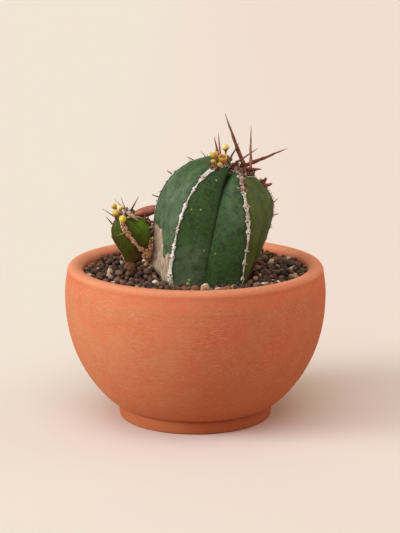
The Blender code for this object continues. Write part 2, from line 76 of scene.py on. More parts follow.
class Recipe:
    """A node tree that is being written. Its place is the point that is being shaded."""

    def __init__(self, tree):
        self.tree = tree
        self.place = None

    def feed(self, made, inputs):
        for socket, value in inputs.items():
            if isinstance(value, bpy.types.NodeSocket):
                self.tree.links.new(value, made.inputs[socket])
            else:
                made.inputs[socket].default_value = value

    def node(self, kind, inputs=None, **settings):
        made = self.tree.nodes.new(kind)
        for key, value in settings.items():
            setattr(made, key, value)
        self.feed(made, inputs or {})
        return made

    def maths(self, operation, first, second):
        return self.node("ShaderNodeMath", {0: first, 1: second}, operation=operation).outputs[0]

    def times(self, first, second):
        return self.maths("MULTIPLY", first, second)

    def total(self, *terms):
        """The sum of some values, each times its weight."""
        weighted = [self.times(value, weight) for weight, value in terms]
        return functools.reduce(lambda first, second: self.maths("ADD", first, second), weighted)

    def spread(self, value, low, high, start=0.0, end=1.0):
        """Stretch the range low to high over start to end, and clamp it."""
        inputs = {"Value": value, "From Min": low, "From Max": high, "To Min": start, "To Max": end}
        return self.node("ShaderNodeMapRange", inputs).outputs["Result"]

    def blend(self, factor, first, second):
        inputs = {0: factor, 6: first, 7: second}
        return self.node("ShaderNodeMix", inputs, data_type="RGBA").outputs[2]

    def layered(self, colour, *layers):
        """Lay thin layers over a colour. A layer is a mask, how strongly it shows, and a tone."""
        for mask, share, tone in layers:
            colour = self.blend(self.times(mask, share), colour, screen(*tone))
        return colour

    def stretched(self, scale, rotation=(0.0, 0.0, 0.0)):
        """The place, drawn out along an axis by a small scale, or packed by a large one."""
        inputs = {"Vector": self.place, "Rotation": rotation, "Scale": scale}
        return self.node("ShaderNodeMapping", inputs).outputs["Vector"]

    def texture(self, kind, place, output, inputs, **settings):
        """A texture at the place that is being shaded, or at a stretched one."""
        inputs["Vector"] = self.place if place is None else place
        return self.node(kind, inputs, **settings).outputs[output]

    def noise(self, scale, detail=3.0, roughness=0.5, place=None):
        inputs = {"Scale": scale, "Detail": detail, "Roughness": roughness}
        return self.texture("ShaderNodeTexNoise", place, "Fac", inputs)

    def mark(self, name, output="Fac"):
        """What the mesh stores under a name: how much of something is there, or a colour."""
        return self.node("ShaderNodeAttribute", attribute_name=name).outputs[output]

    def bump(self, height, distance):
        inputs = {"Height": height, "Distance": distance, "Strength": 1.0}
        return self.node("ShaderNodeBump", inputs).outputs["Normal"]


print("A mid grey of 128 is", round(screen(128, 128, 128)[0], 3), "in linear values")

# %% [markdown]
# ### Shared effects
# Two effects come back in nearly every finish of this plant: soft mottling, where a surface
# drifts from one tone to another, and flecks, which are small scattered dots. Each is built once
# as a node group with named inputs and one output, and each material gives it its own numbers.

# %% Group: mottling
def new_group(name, inputs, output):
    group = bpy.data.node_groups.new(name, "ShaderNodeTree")
    group.interface.new_socket(name="Vector", in_out="INPUT", socket_type="NodeSocketVector")
    for key, value in inputs.items():
        socket = group.interface.new_socket(name=key, in_out="INPUT", socket_type="NodeSocketFloat")
        socket.default_value = value
    group.interface.new_socket(name=output, in_out="OUTPUT", socket_type="NodeSocketFloat")
    recipe = Recipe(group)
    given = recipe.node("NodeGroupInput").outputs
    recipe.place = given["Vector"]
    return group, recipe, given


def end_group(recipe, value):
    recipe.node("NodeGroupOutput", {0: value})


mottling, recipe, given = new_group("mottling", {"Scale": 60.0, "Low": 0.4, "High": 0.6}, "Tone")
end_group(recipe, recipe.spread(recipe.noise(given["Scale"], 4.0, 0.6), given["Low"], given["High"]))
print("Group", mottling.name, "is ready")

# %% Group: flecks
FLECK_CORE = 0.6
flecks, recipe, given = new_group("flecks", {"Scale": 400.0, "Size": 0.2, "Share": 0.3}, "Mask")
inputs = {"Vector": recipe.place, "Scale": given["Scale"]}
cells = recipe.node("ShaderNodeTexVoronoi", inputs).outputs
random_value = recipe.node("ShaderNodeSeparateColor", {0: cells["Color"]}).outputs[0]
chosen = recipe.maths("LESS_THAN", random_value, given["Share"])
dot = recipe.spread(cells["Distance"], given["Size"], recipe.times(given["Size"], FLECK_CORE))
end_group(recipe, recipe.times(dot, chosen))
print("Group", flecks.name, "is ready")

# %% Using the groups
def mottled(recipe, scale, low=0.4, high=0.6, place=None):
    inputs = {"Scale": scale, "Low": low, "High": high}
    return recipe.texture("ShaderNodeGroup", place, "Tone", inputs, node_tree=mottling)


def flecked(recipe, scale, size, share, place=None):
    inputs = {"Scale": scale, "Size": size, "Share": share}
    return recipe.texture("ShaderNodeGroup", place, "Mask", inputs, node_tree=flecks)


def new_finish(name):
    """A material, and the recipe that its colours are written with."""
    finish = bpy.data.materials.new(name)
    finish.use_nodes = True
    recipe = Recipe(finish.node_tree)
    recipe.place = recipe.node("ShaderNodeTexCoord").outputs["Object"]
    return finish, recipe


def coat(recipe, colour, roughness, shine=0.5, relief=None, depth=0.0):
    """Feed the shader. The relief is as deep as the depth, in metres."""
    inputs = {"Base Color": colour, "Roughness": roughness, "Specular IOR Level": shine}
    if relief is not None:
        inputs["Normal"] = recipe.bump(relief, depth)
    recipe.feed(recipe.tree.nodes["Principled BSDF"], inputs)


# %% [markdown]
# ## Finishes
# ### Terracotta
# Fired clay is matt and warm. A hand-thrown bowl drifts in tone, carries fine dark grog and
# small pits, and has short pale scratches and lime bloom where it has been handled and watered.
# Its shoulder is flushed by the fire and its lip is dusty. Light and shade are painted into the
# clay too: it is paler on the left, lamp side, darker and redder to the right and low on the wall,
# the lip's top carries a painted highlight, and the foot and the crease over it carry painted
# shade. The tone comes from mottling at several sizes. The drag of the potter's sponge, the pits
# and the grog also feed the bump.

# %% Terracotta finish
terracotta, recipe = new_finish("terracotta")
sides = recipe.node("ShaderNodeSeparateXYZ", {0: recipe.place}).outputs
# Painted light and shade: the clay is paler on the left, lamp side, and darker and redder towards
# the right.
painted_side_shade = recipe.spread(sides["X"], -75 * MM, 60 * MM)
bands = recipe.noise(1.0, place=recipe.stretched((9.0, 9.0, 420.0)))
drag = recipe.noise(400.0, 4.0, 0.7, recipe.stretched((1.0, 1.0, 3.4)))
handled = recipe.spread(recipe.noise(42.0), 0.40, 0.62, 0.35, 1.0)
pale_drag = recipe.times(handled, recipe.spread(drag, 0.54, 0.72))
dark_drag = recipe.times(handled, recipe.spread(drag, 0.47, 0.30))
grain = recipe.noise(2600.0, 2.0)
grog = flecked(recipe, 520.0, 0.16, 0.14)
pits = flecked(recipe, 170.0, 0.07, 0.12)
lime = flecked(recipe, 260.0, 0.12, 0.14, recipe.stretched((1.0, 1.0, 2.4)))
slanted = recipe.stretched((1.0, 1.0, 9.0), (0.0, 0.6, 0.0))
shoulder = recipe.spread(sides["Z"], 75.5 * MM, 82.0 * MM)
# Dust on the lip's top, which is also painted paler as a highlight where the lip faces up to the
# light.
lip_dust_and_highlight = recipe.spread(sides["Z"], 85.9 * MM, 87.8 * MM)
# Painted shade: the wall turns darker and redder towards its bottom.
lower_wall_shade = recipe.spread(sides["Z"], 45.0 * MM, 10.0 * MM)
# Painted shade: the foot and the crease over it are darkened.
foot_shade = recipe.spread(sides["Z"], 9.6 * MM, 8.0 * MM)
clay = recipe.layered(
    screen(221, 131, 91),
    (painted_side_shade, 1.0, (209, 114, 76)),
    (mottled(recipe, 22.0, 0.35, 0.7), 0.5, (205, 116, 76)),
    (mottled(recipe, 130.0, 0.42, 0.72), 0.28, (228, 150, 112)),
    (mottled(recipe, 48.0, 0.44, 0.62), 0.50, (222, 108, 72)),
    (recipe.spread(bands, 0.42, 0.75), 0.14, (184, 98, 62)),
    (recipe.spread(grain, 0.35, 0.75), 0.24, (172, 90, 58)),
    (pale_drag, 0.52, (238, 168, 134)),
    (dark_drag, 0.48, (168, 82, 52)),
    (grog, 0.4, (120, 56, 34)),
    (pits, 0.65, (96, 48, 34)),
    (lime, 0.4, (240, 184, 152)),
    (flecked(recipe, 75.0, 0.075, 0.10, slanted), 0.45, (238, 186, 154)),
    (shoulder, 0.35, (222, 112, 76)),
    (lip_dust_and_highlight, 0.26, (238, 170, 136)),
    (lower_wall_shade, 0.4, (224, 118, 68)),
    (foot_shade, 0.46, (148, 64, 26)),
)
relief = recipe.total((1.4, drag), (0.4, bands), (-0.6, grog), (-2.0, pits))
coat(recipe, clay, 0.82, 0.25, relief, 0.17 * MM)
print("Finish:", terracotta.name)

# %% [markdown]
# ### Soil and grit
# The mix is crumbly, and nearly black: its dark tone is partly painted shade for the gaps between
# the stones. The top dressing is rounded grit of many stones, mostly brown and purple-grey, with a
# few tan, cream and nearly white ones. Each stone gets one colour in a vertex attribute, so a
# single material can show every kind. Over it lie clay dust, pale crystals and dark mineral grains.

# %% Soil and grit finishes
soil_mix, recipe = new_finish("soil")
crumbs = mottled(recipe, 700.0, 0.35, 0.7)
# Near-black soil, which is partly painted shade for the gaps between the stones.
earth_and_gap_shade = recipe.layered(screen(18, 11, 9), (crumbs, 1.0, (58, 40, 32)))
coat(recipe, earth_and_gap_shade, 0.95, 0.2, crumbs, 0.6 * MM)

grit, recipe = new_finish("grit")
stone = recipe.layered(
    recipe.mark("stone_colour", "Color"),
    (mottled(recipe, 520.0, 0.35, 0.7), 0.22, (120, 88, 72)),
    (flecked(recipe, 1500.0, 0.3, 0.22), 0.45, (205, 180, 156)),
    (flecked(recipe, 1100.0, 0.32, 0.25), 0.55, (40, 26, 22)),
)
coat(recipe, stone, 0.78, 0.3, recipe.noise(1900.0), 0.25 * MM)
print("Finishes:", soil_mix.name, grit.name)

# %% [markdown]
# ### Stem skin
# The skin is a waxy, slightly glaucous green. On this plant the left face carries most bloom and
# looks blue-grey, the middle is deep green and the right flank is olive. The pale blue-grey of the
# left face is partly painted light from the lamp side, and the olive of the right flank and back
# is partly painted warm fill light. A dark line down the grooves, a darker band beside the cork
# and dark brown in the hollow at the foot of the right crest are painted shade. The crests are
# edged with pale cork, and old skin near the soil has turned to grey-pink bark. Cork, bark, scars
# and the few pale specks are places on the mesh, so each is a vertex attribute from 0 to 1, and
# the nodes break up its edge with noise.

# %% Skin recipe for both stems
Tones = namedtuple("Tones", "deep bloom olive crease dead wax cork dull_cork")


def corky(recipe, tones):
    """Cork: pale, cracked and dirty in its hollows. Gives colour, cracks and area."""
    ragged = recipe.spread(recipe.noise(900.0), 0.3, 0.7, -0.24, 0.24)
    area = recipe.spread(recipe.maths("ADD", recipe.mark("cork"), ragged), 0.44, 0.60)
    cracks = recipe.noise(1300.0, 4.0, 0.7)
    colour = recipe.layered(
        screen(*tones.cork),
        (mottled(recipe, 560.0, 0.50, 0.66), 1.0, tones.dull_cork),
        (mottled(recipe, 210.0, 0.46, 0.60), 0.75, tones.dull_cork),
        (recipe.spread(cracks, 0.54, 0.68), 0.85, (88, 60, 46)),
    )
    return colour, cracks, area


def barky(recipe):
    """Old bark: streaked up and down, and stained. Gives colour, streaks and area."""
    streaks = recipe.noise(1300.0, 3.0, 0.6, recipe.stretched((1.0, 1.0, 0.16)))
    ragged = recipe.spread(recipe.noise(260.0, 4.0), 0.3, 0.7, -0.35, 0.35)
    area = recipe.spread(recipe.maths("ADD", recipe.mark("bark"), ragged), 0.42, 0.56)
    colour = recipe.layered(
        screen(146, 114, 96),
        (recipe.spread(streaks, 0.37, 0.63), 1.0, (212, 180, 156)),
        (mottled(recipe, 150.0, 0.48, 0.72), 0.7, (146, 104, 90)),
    )
    return colour, streaks, area


def skin_finish(name, tones, roughness):
    """Living skin with its bloom, painted light and shade, creases and dead tissue, then the bark
    and cork over it.
    """
    finish, recipe = new_finish(name)
    upright = recipe.stretched((1.0, 1.0, 0.85))
    # The bloom mark is bloom and painted light: the skin is paler where it faces the lamp.
    left_side = recipe.mark("bloom")
    cloud = mottled(recipe, 95.0, 0.46, 0.72, upright)
    powder_and_light = recipe.times(cloud, recipe.spread(left_side, 0.0, 1.0, 0.08, 0.58))
    patch = mottled(recipe, 240.0, 0.44, 0.66, upright)
    brown = mottled(recipe, 120.0, 0.50, 0.74)
    green = recipe.layered(
        screen(*tones.deep),
        (left_side, 1.0, tones.bloom),
        (recipe.mark("olive"), 1.0, tones.olive),
        (powder_and_light, 1.0, tones.wax),
        (patch, 0.58, tones.crease),
        (brown, 0.40, tones.crease),
        (mottled(recipe, 900.0, 0.40, 0.70), 0.20, tones.wax),
        (recipe.mark("shade"), 0.5, tones.crease),
        (recipe.spread(recipe.mark("speck"), 0.25, 0.6), 0.9, (196, 206, 128)),
        # Painted shade down the grooves.
        (recipe.mark("groove"), 1.0, tones.crease),
    )
    bark, streaks, bark_area = barky(recipe)
    cork, cracks, cork_area = corky(recipe, tones)
    # The rust mark is dry dead tissue at the crowns and painted shade in the hollow at the foot of
    # the main stem's right crest.
    rust_and_shade = recipe.mark("rust_and_shade")
    rust_and_shade_mask = recipe.times(rust_and_shade, recipe.total((1.0, rust_and_shade), (0.25, brown)))
    skin = recipe.layered(recipe.blend(bark_area, green, bark), (rust_and_shade_mask, 1.0, tones.dead))
    scar = recipe.spread(recipe.mark("scar"), 0.2, 0.45)
    skin = recipe.layered(recipe.blend(cork_area, skin, cork), (scar, 0.92, (74, 38, 32)))
    dry = recipe.maths("MAXIMUM", bark_area, cork_area)
    cracked = recipe.times(cracks, dry)
    relief = recipe.total((1.6, cracked), (1.0, recipe.times(streaks, bark_area)), (0.5, patch))
    coat(recipe, skin, recipe.spread(dry, 0.0, 1.0, roughness, 0.9), 0.14, relief, 0.22 * MM)
    return finish


old_tones = Tones(
    deep=(50, 76, 31),
    bloom=(74, 88, 59),
    olive=(73, 85, 7),
    crease=(26, 36, 12),
    dead=(70, 42, 28),
    wax=(116, 132, 106),
    cork=(246, 234, 222),
    dull_cork=(176, 140, 124),
)
young_tones = Tones(
    deep=(62, 62, 4),
    bloom=(76, 84, 12),
    olive=(96, 128, 32),
    crease=(40, 30, 6),
    dead=(104, 56, 36),
    wax=(112, 128, 58),
    cork=(226, 178, 138),
    dull_cork=(172, 112, 74),
)
old_skin = skin_finish("stem_green", old_tones, 0.55)
young_skin = skin_finish("offset_green", young_tones, 0.5)
print("Finishes:", old_skin.name, young_skin.name)

# %% [markdown]
# ### Wood, horn and petals
# Dried flower stalks stay on the plant like spines. They are red-brown and horny, and their tips
# bleach to grey. Woody pieces are fibrous. The cyathia are what most people call the flowers:
# a yellow cup with glands on its rim and a darker middle.

# %% Dry bark finish
dry_bark, recipe = new_finish("dry_bark")
fibres = recipe.noise(1400.0, 4.0, 0.6, recipe.stretched((1.0, 1.0, 0.2)))
wood = recipe.layered(screen(58, 28, 17), (recipe.spread(fibres, 0.35, 0.65), 1.0, (136, 82, 54)))
crust = recipe.layered(screen(176, 122, 80), (mottled(recipe, 360.0, 0.5, 0.7), 1.0, (112, 66, 38)))
coat(recipe, recipe.blend(recipe.mark("tan"), wood, crust), 0.85, 0.3, fibres, 0.3 * MM)

# %% Smooth dried shoot finish
dried_skin, recipe = new_finish("dried_skin")
wrinkle = recipe.noise(700.0, place=recipe.stretched((0.3, 1.0, 1.0)))
tone = recipe.layered(
    screen(182, 98, 74),
    (mottled(recipe, 160.0), 1.0, (154, 74, 56)),
    (recipe.mark("wine"), 1.0, (104, 36, 28)),
    (recipe.spread(wrinkle, 0.4, 0.8), 0.4, (110, 52, 40)),
)
coat(recipe, tone, 0.6, relief=wrinkle, depth=0.15 * MM)

# %% Spine finish
horn, recipe = new_finish("spine_brown")
ring = recipe.noise(1100.0)
tone = recipe.layered(
    recipe.mark("spine_colour", "Color"),
    (recipe.spread(recipe.mark("along"), 0.35, 1.0), 0.6, (132, 104, 92)),
    (recipe.spread(ring, 0.45, 0.70), 0.65, (66, 28, 20)),
    (recipe.spread(recipe.noise(700.0, 2.0), 0.55, 0.8), 0.45, (206, 140, 112)),
)
coat(recipe, tone, 0.55, 0.2, ring, 0.1 * MM)

# %% Petal finish
petal, recipe = new_finish("cyathium_yellow")
grain = recipe.noise(1800.0, 2.0)
tone = recipe.layered(
    recipe.mark("petal_colour", "Color"),
    (recipe.spread(grain, 0.4, 0.7), 0.35, (232, 190, 92)),
    (mottled(recipe, 420.0, 0.48, 0.72), 0.45, (158, 100, 34)),
)
coat(recipe, tone, 0.5, relief=grain, depth=0.06 * MM)
print("Finishes:", dry_bark.name, dried_skin.name, horn.name, petal.name)

# %% [markdown]
# ## Making a piece
# Every piece is a bmesh that already lies in its final place, so its object stays at the origin,
# unturned and unscaled. It rides on the one body of this model and says which CAD nodes it stands
# for.

# %% From a bmesh to a piece
def place_mesh(name, shape, finish):
    """Turn a bmesh into an object that has a finish."""
    mesh = bpy.data.meshes.new(name)
    shape.to_mesh(mesh)
    shape.free()
    mesh.materials.append(finish)
    placed = bpy.data.objects.new(name, mesh)
    bpy.context.scene.collection.objects.link(placed)
    return placed


def finish_piece(name, shape, finish, replaced=()):
    piece = place_mesh(name, shape, finish)
    piece.data.shade_smooth()
    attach(piece, "root")
    if replaced:
        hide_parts(*replaced)
    piece.data.calc_loop_triangles()
    print(f"{name}: {len(piece.data.loop_triangles)} triangles")
    return piece


ORIGIN = (0.0, 0.0, 0.0)
WELD_REACH = 0.001 * MM


def turned(outline, sides):
    """A body turned about Z from a closed outline, or from one that runs from axis to axis."""
    shape = bmesh.new()
    points = [shape.verts.new((radius, 0.0, height)) for radius, height in outline]
    pairs = zip(points, points[1:] + points[:1])
    edges = [shape.edges.new(pair) for pair in pairs if max(pair[0].co.x, pair[1].co.x) > 0.0]
    swept = {"geom": points + edges, "cent": ORIGIN, "axis": (0.0, 0.0, 1.0)}
    bmesh.ops.spin(shape, angle=math.tau, steps=sides, use_merge=True, **swept)
    bmesh.ops.remove_doubles(shape, verts=shape.verts, dist=WELD_REACH)
    bmesh.ops.recalc_face_normals(shape, faces=shape.faces)
    return shape


def smooth_step(value, low, high):
    share = max(0.0, min(1.0, (value - low) / (high - low)))
    return share * share * (3.0 - 2.0 * share)


# %% [markdown]
# ## The bowl
# A thrown bowl is a body of revolution, so its outline is drawn once and spun. The outer wall is
# a superellipse, a little fuller than an ellipse. Fingers leave very shallow rings, and no pot
# is perfectly round, so each vertex is then pulled in by a few tenths of a millimetre at most.

# %% Bowl sizes
LIP_DROP = 0.8 * MM
_, bowl_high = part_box("terracotta_bowl")
BOWL_RADIUS = bowl_high.x
BOWL_HEIGHT = bowl_high.z - LIP_DROP
WIDEST_HEIGHT = 71.0 * MM
BOWL_REACH = 78.2 * MM
BOWL_SQUARENESS = 2.1
NECK_REACH = 64.0 * MM
INNER_RADIUS = 66.0 * MM
INNER_REACH = 66.0 * MM
FLOOR_HEIGHT = 13.0 * MM
FOOT_RADIUS = 44.1 * MM
FOOT_HEIGHT = 8.2 * MM
FOOT_RING_WIDTH = 8.0 * MM
FOOT_EDGE = 1.2 * MM
FOOT_RECESS = 3.0 * MM
FOOT_BULGE = 0.25 * MM
DRAIN_RADIUS = 8.0 * MM
LIP_OUTER_RADIUS = 73.6 * MM
LIP_MIDDLE_RADIUS = 69.3 * MM
LIP_INNER_RADIUS = 64.3 * MM
LIP_OUTER_SQUARENESS = 2.5
LIP_INNER_SQUARENESS = 2.1
LIP_RISE = 4.4 * MM
LIP_BASE = BOWL_HEIGHT - LIP_RISE
print("Bowl:", round(2 * BOWL_RADIUS / MM, 1), "mm wide,", round(BOWL_HEIGHT / MM, 1), "mm high")

# %% Outline of the bowl
def superellipse(angle, squareness):
    power = 2.0 / squareness
    return max(math.cos(angle), 0.0) ** power, max(math.sin(angle), 0.0) ** power


def wall_curve(radius, reach, lowest, steps):
    share = (WIDEST_HEIGHT - lowest) / reach
    start = math.asin(share ** (BOWL_SQUARENESS / 2.0))
    points = []
    for step in range(steps + 1):
        across, along = superellipse(start * (1.0 - step / steps), BOWL_SQUARENESS)
        points.append((radius * across, WIDEST_HEIGHT - reach * along))
    return points


def shoulder_curve(steps):
    """The outer face from its widest up to the lip, easing into the lip's edge."""
    points = []
    for step in range(1, steps):
        share = step / steps
        height = WIDEST_HEIGHT + (LIP_BASE - WIDEST_HEIGHT) * share
        angle = math.asin(((height - WIDEST_HEIGHT) / NECK_REACH) ** (BOWL_SQUARENESS / 2.0))
        points.append((BOWL_RADIUS * superellipse(angle, BOWL_SQUARENESS)[0], height))
    return points


def lip_curve(steps):
    points = []
    for step in range(steps + 1):
        angle = math.pi * step / steps
        if angle < math.pi / 2.0:
            edge = LIP_OUTER_RADIUS
            across, along = superellipse(angle, LIP_OUTER_SQUARENESS)
        else:
            edge = LIP_INNER_RADIUS
            across, along = superellipse(math.pi - angle, LIP_INNER_SQUARENESS)
        radius = LIP_MIDDLE_RADIUS + (edge - LIP_MIDDLE_RADIUS) * across
        points.append((radius, LIP_BASE + LIP_RISE * along))
    return points


def foot_curve(steps):
    """The recess, the rounded edge that it stands on, its side and the crease over it."""
    ring_inner = FOOT_RADIUS - FOOT_RING_WIDTH
    points = [(DRAIN_RADIUS, FOOT_RECESS), (ring_inner - FOOT_EDGE, FOOT_RECESS), (ring_inner, 0.0)]
    for step in range(steps + 1):
        angle = math.pi / 2.0 * (1.0 - step / steps)
        radius = FOOT_RADIUS - FOOT_EDGE + FOOT_EDGE * math.cos(angle)
        points.append((radius, FOOT_EDGE - FOOT_EDGE * math.sin(angle)))
    for share in (0.3, 0.6, 0.85):
        points.append((FOOT_RADIUS + FOOT_BULGE * math.sin(math.pi * share), FOOT_HEIGHT * share))
    for out, up in ((-0.2, -0.3), (0.5, -0.1), (1.6, 0.1)):
        points.append((FOOT_RADIUS + out * MM, FOOT_HEIGHT + up * MM))
    return points


# %% Spin the bowl and let the fingers show
BOWL_SIDES = 216
RING_DEPTH = 0.05
WOBBLE_DEPTH = 0.22  # both depths in millimetres
DRIFT_SCALE = 25.0
WOBBLE_SCALE = 45.0
RING_PACE = 2100.0  # radians a metre: a ring every 3 mm
outer = wall_curve(BOWL_RADIUS, BOWL_REACH, FOOT_HEIGHT + 0.6 * MM, 70)
inner = wall_curve(INNER_RADIUS, INNER_REACH, FLOOR_HEIGHT, 24)
inner.append(((INNER_RADIUS + LIP_INNER_RADIUS) / 2.0, (WIDEST_HEIGHT + LIP_BASE) / 2.0))
outline = foot_curve(6) + outer + shoulder_curve(12) + lip_curve(24) + inner[::-1]
outline.append((DRAIN_RADIUS, FLOOR_HEIGHT))
bowl_shape = turned(outline, BOWL_SIDES)
for vert in bowl_shape.verts:
    radius = vert.co.xy.length
    if radius > FOOT_RADIUS and FOOT_HEIGHT < vert.co.z < BOWL_HEIGHT - 1.0 * MM:
        drift = 3.0 * noise.noise(vert.co * DRIFT_SCALE)
        ring = 0.5 + 0.5 * math.sin(vert.co.z * RING_PACE + drift)
        wobble = 0.5 + 0.5 * noise.noise(vert.co * WOBBLE_SCALE)
        pull = (RING_DEPTH * ring * ring + WOBBLE_DEPTH * wobble) * MM
        vert.co.xy *= 1.0 - pull / radius
finish_piece("bowl", bowl_shape, terracotta, ["terracotta_bowl"])

# %% [markdown]
# ## The stems
# Each stem is one grown body with ribs. A plain sphere is reshaped: its columns become turns
# round the stem, and its rows become levels from the root to the crown. Turn 2.0 is the crest of
# rib 2, and turn 2.5 is the groove between ribs 2 and 3. The formula is the one that made the CAD
# solid, so the finer skin lies on the same surface, and there are many more columns near the
# crests, where the detail is.

# %% Ribs of the two stems
Rib = namedtuple(
    "Rib",
    "foot_azimuth belly_azimuth crown_azimuth foot_radius belly_radius belly_height top_height "
    "groove_place groove_share groove_onset roundness squareness",
)
Stem = namedtuple(
    "Stem",
    "name axis ribs root_depth crown_radius crown_height core_height foot_groove crown_groove "
    "face_bulge swelling",
)
Swelling = namedtuple("Swelling", "turn level turn_reach level_reach height")
SOIL_LEVEL = 0.12
BELLY_LEVEL = 0.42
GROOVE_SHARPNESS = 1.5
GROOVE_END = 0.12
ON_A_CREST = 1e-6
NORMAL_TURN = 0.25
NORMAL_LEVEL = 0.02


def mm(*values):
    return tuple(value * MM for value in values)


def rib(azimuths, radii, heights, groove=(0.5, 1.0, 0.0), roundness=0.0, squareness=2.4):
    return Rib(*azimuths, *mm(*radii), *mm(*heights), *groove, roundness, squareness)


MAIN_STEM = Stem(
    name="main_stem",
    axis=(mm(7, -8, 84), mm(7.5, -8.5, 120), mm(33, -12, 171)),
    ribs=(
        rib((-92, -92, -92), (27.2, 34.5), (32.8, 67.8), (0.5, 0.1, 0.3), 0.05, 2.0),
        rib((-39, -37.5, -39), (33.8, 34.0), (24, 66.5), (0.51, 1.0, 0.22), 0.04),
        rib((34, 32.5, 13.5), (33.3, 34.0), (24, 64.5), (0.5, 0.12, 0.25), 0.04),
        rib((98, 98, 98), (25.0, 31.2), (36, 64), squareness=2.6),
        rib((156, 156, 156), (27, 32), (30, 65.5)),
        rib((208, 208, 208), (27, 33), (29, 66)),
    ),
    root_depth=11 * MM,
    crown_radius=13 * MM,
    crown_height=61.3 * MM,
    core_height=34 * MM,
    foot_groove=0.02,
    crown_groove=0.27,
    face_bulge=0.03,
    swelling=Swelling(-0.05, 0.18, 0.45, 0.038, 2.9 * MM),
)
OFFSET_STEM = Stem(
    name="offset_stem",
    axis=(mm(-28, -12, 99), mm(-37.5, -12.5, 111), mm(-38, -13, 117)),
    ribs=(
        rib((-90, -85, -80), (14, 12), (8, 22), (0.5, 0.3, 0.3), 0.03, 3.0),
        rib((-1, -5, -33), (7, 10.5), (10, 25.5), (0.5, 0.3, 0.3), 0.05),
        rib((85, 95, 95), (1, 11.4), (10, 26), squareness=1.8),
        rib((160, 165, 170), (5, 11), (12, 28)),
        rib((215, 220, 225), (8, 10.5), (10, 26)),
    ),
    root_depth=3 * MM,
    crown_radius=6 * MM,
    crown_height=24 * MM,
    core_height=14 * MM,
    foot_groove=0.05,
    crown_groove=0.22,
    face_bulge=0.06,
    swelling=None,
)
print(MAIN_STEM.name, "has", len(MAIN_STEM.ribs), "ribs;", OFFSET_STEM.name, len(OFFSET_STEM.ribs))

# %% Surface of a stem
def axis_frame(stem, height):
    """Point, right, back and up directions on the stem's curved axis, a height up along it."""
    start, bend, end = (Vector(point) for point in stem.axis)
    run = 2.0 * (bend - start)
    swing = end - 2.0 * bend + start
    along = height / run.length
    for _ in range(3):
        along = height / (run + swing * along).length if height > 0.0 else along
    along_curve = max(along, 0.0)
    point = start + run * along_curve + swing * along_curve**2
    up = (run + 2.0 * swing * along_curve).normalized()
    if height < 0.0:
        point = point + up * height
    back = (Vector((0.0, 1.0, 0.0)) - up * up.y).normalized()
    return point, back.cross(up), back, up


@functools.lru_cache(maxsize=None)
def ridge_point(stem, number, level):
    """Place of a rib's crest at a level, and its height along the axis."""
    edge = stem.ribs[number % len(stem.ribs)]
    if level < SOIL_LEVEL:
        angle = math.pi / 2.0 * level / SOIL_LEVEL
        radius = edge.foot_radius * math.sin(angle)
        height = -stem.root_depth * math.cos(angle)
        azimuth = edge.foot_azimuth
    elif level < BELLY_LEVEL:
        share = (level - SOIL_LEVEL) / (BELLY_LEVEL - SOIL_LEVEL)
        swell = math.sin(math.pi / 2.0 * share)
        radius = edge.foot_radius + (edge.belly_radius - edge.foot_radius) * swell
        height = edge.belly_height * share
        turned_by = (edge.belly_azimuth - edge.foot_azimuth) * smooth_step(share, 0.0, 1.0)
        azimuth = edge.foot_azimuth + turned_by
    else:
        share = (level - BELLY_LEVEL) / (1.0 - BELLY_LEVEL)
        across, along = superellipse(math.pi / 2.0 * share, edge.squareness)
        radius = edge.belly_radius * across
        height = edge.belly_height + (edge.top_height - edge.belly_height) * along
        azimuth = edge.belly_azimuth + (edge.crown_azimuth - edge.belly_azimuth) * along**2
        sunk = 1.0 - min(radius / stem.crown_radius, 1.0) ** 2
        height += (stem.crown_height - height) * sunk**2
    point, right, back, _ = axis_frame(stem, height)
    side = math.radians(azimuth)
    return point + radius * (math.sin(side) * right - math.cos(side) * back), height


def groove_depth(stem, edge, level):
    """Depth of the groove after a rib at a level, as a share of the way to the stem's core."""
    share = max(0.0, (level - SOIL_LEVEL) / (1.0 - SOIL_LEVEL))
    opened = smooth_step(share, edge.groove_onset, 1.0)
    depth = stem.foot_groove + (stem.crown_groove - stem.foot_groove) * opened
    foot = math.sin(math.pi / 2.0 * min(1.0, level / SOIL_LEVEL))
    top = math.sqrt(min(1.0, (1.0 - share) / GROOVE_END))
    return edge.groove_share * depth * foot * top


def swelling_at(stem, turn, level):
    """How far the old wood of the stem's foot swells out there."""
    if stem.swelling is None:
        return 0.0
    half_turn = len(stem.ribs) / 2.0
    away = (turn - stem.swelling.turn + half_turn) % len(stem.ribs) - half_turn
    across = away / stem.swelling.turn_reach
    up = abs(level - stem.swelling.level) / stem.swelling.level_reach
    return stem.swelling.height * math.exp(-(across**2) - up**3)


def stem_point(stem, turn, level):
    """A place on the stem's surface, between two crests and down into the groove they share."""
    number = math.floor(turn + ON_A_CREST)
    across = turn - number
    near, near_height = ridge_point(stem, number, level)
    far, far_height = ridge_point(stem, number + 1, level)
    edge = stem.ribs[number % len(stem.ribs)]
    if across < 0.5:
        mix = 2.0 * across * edge.groove_place
    else:
        mix = edge.groove_place + (2.0 * across - 1.0) * (1.0 - edge.groove_place)
    chord = near.lerp(far, mix)
    height = near_height + (far_height - near_height) * mix
    core = axis_frame(stem, min(height, stem.core_height))[0]
    depth = 1.0 - abs(2.0 * across - 1.0)
    bulge = stem.face_bulge * math.sin(math.pi * depth) + edge.roundness * depth * (2.0 - depth)
    push = bulge * min(1.0, level / SOIL_LEVEL)
    push -= groove_depth(stem, edge, level) * max(depth, 0.0) ** GROOVE_SHARPNESS
    outward = chord - core
    return chord + push * outward + swelling_at(stem, turn, level) * outward.normalized()


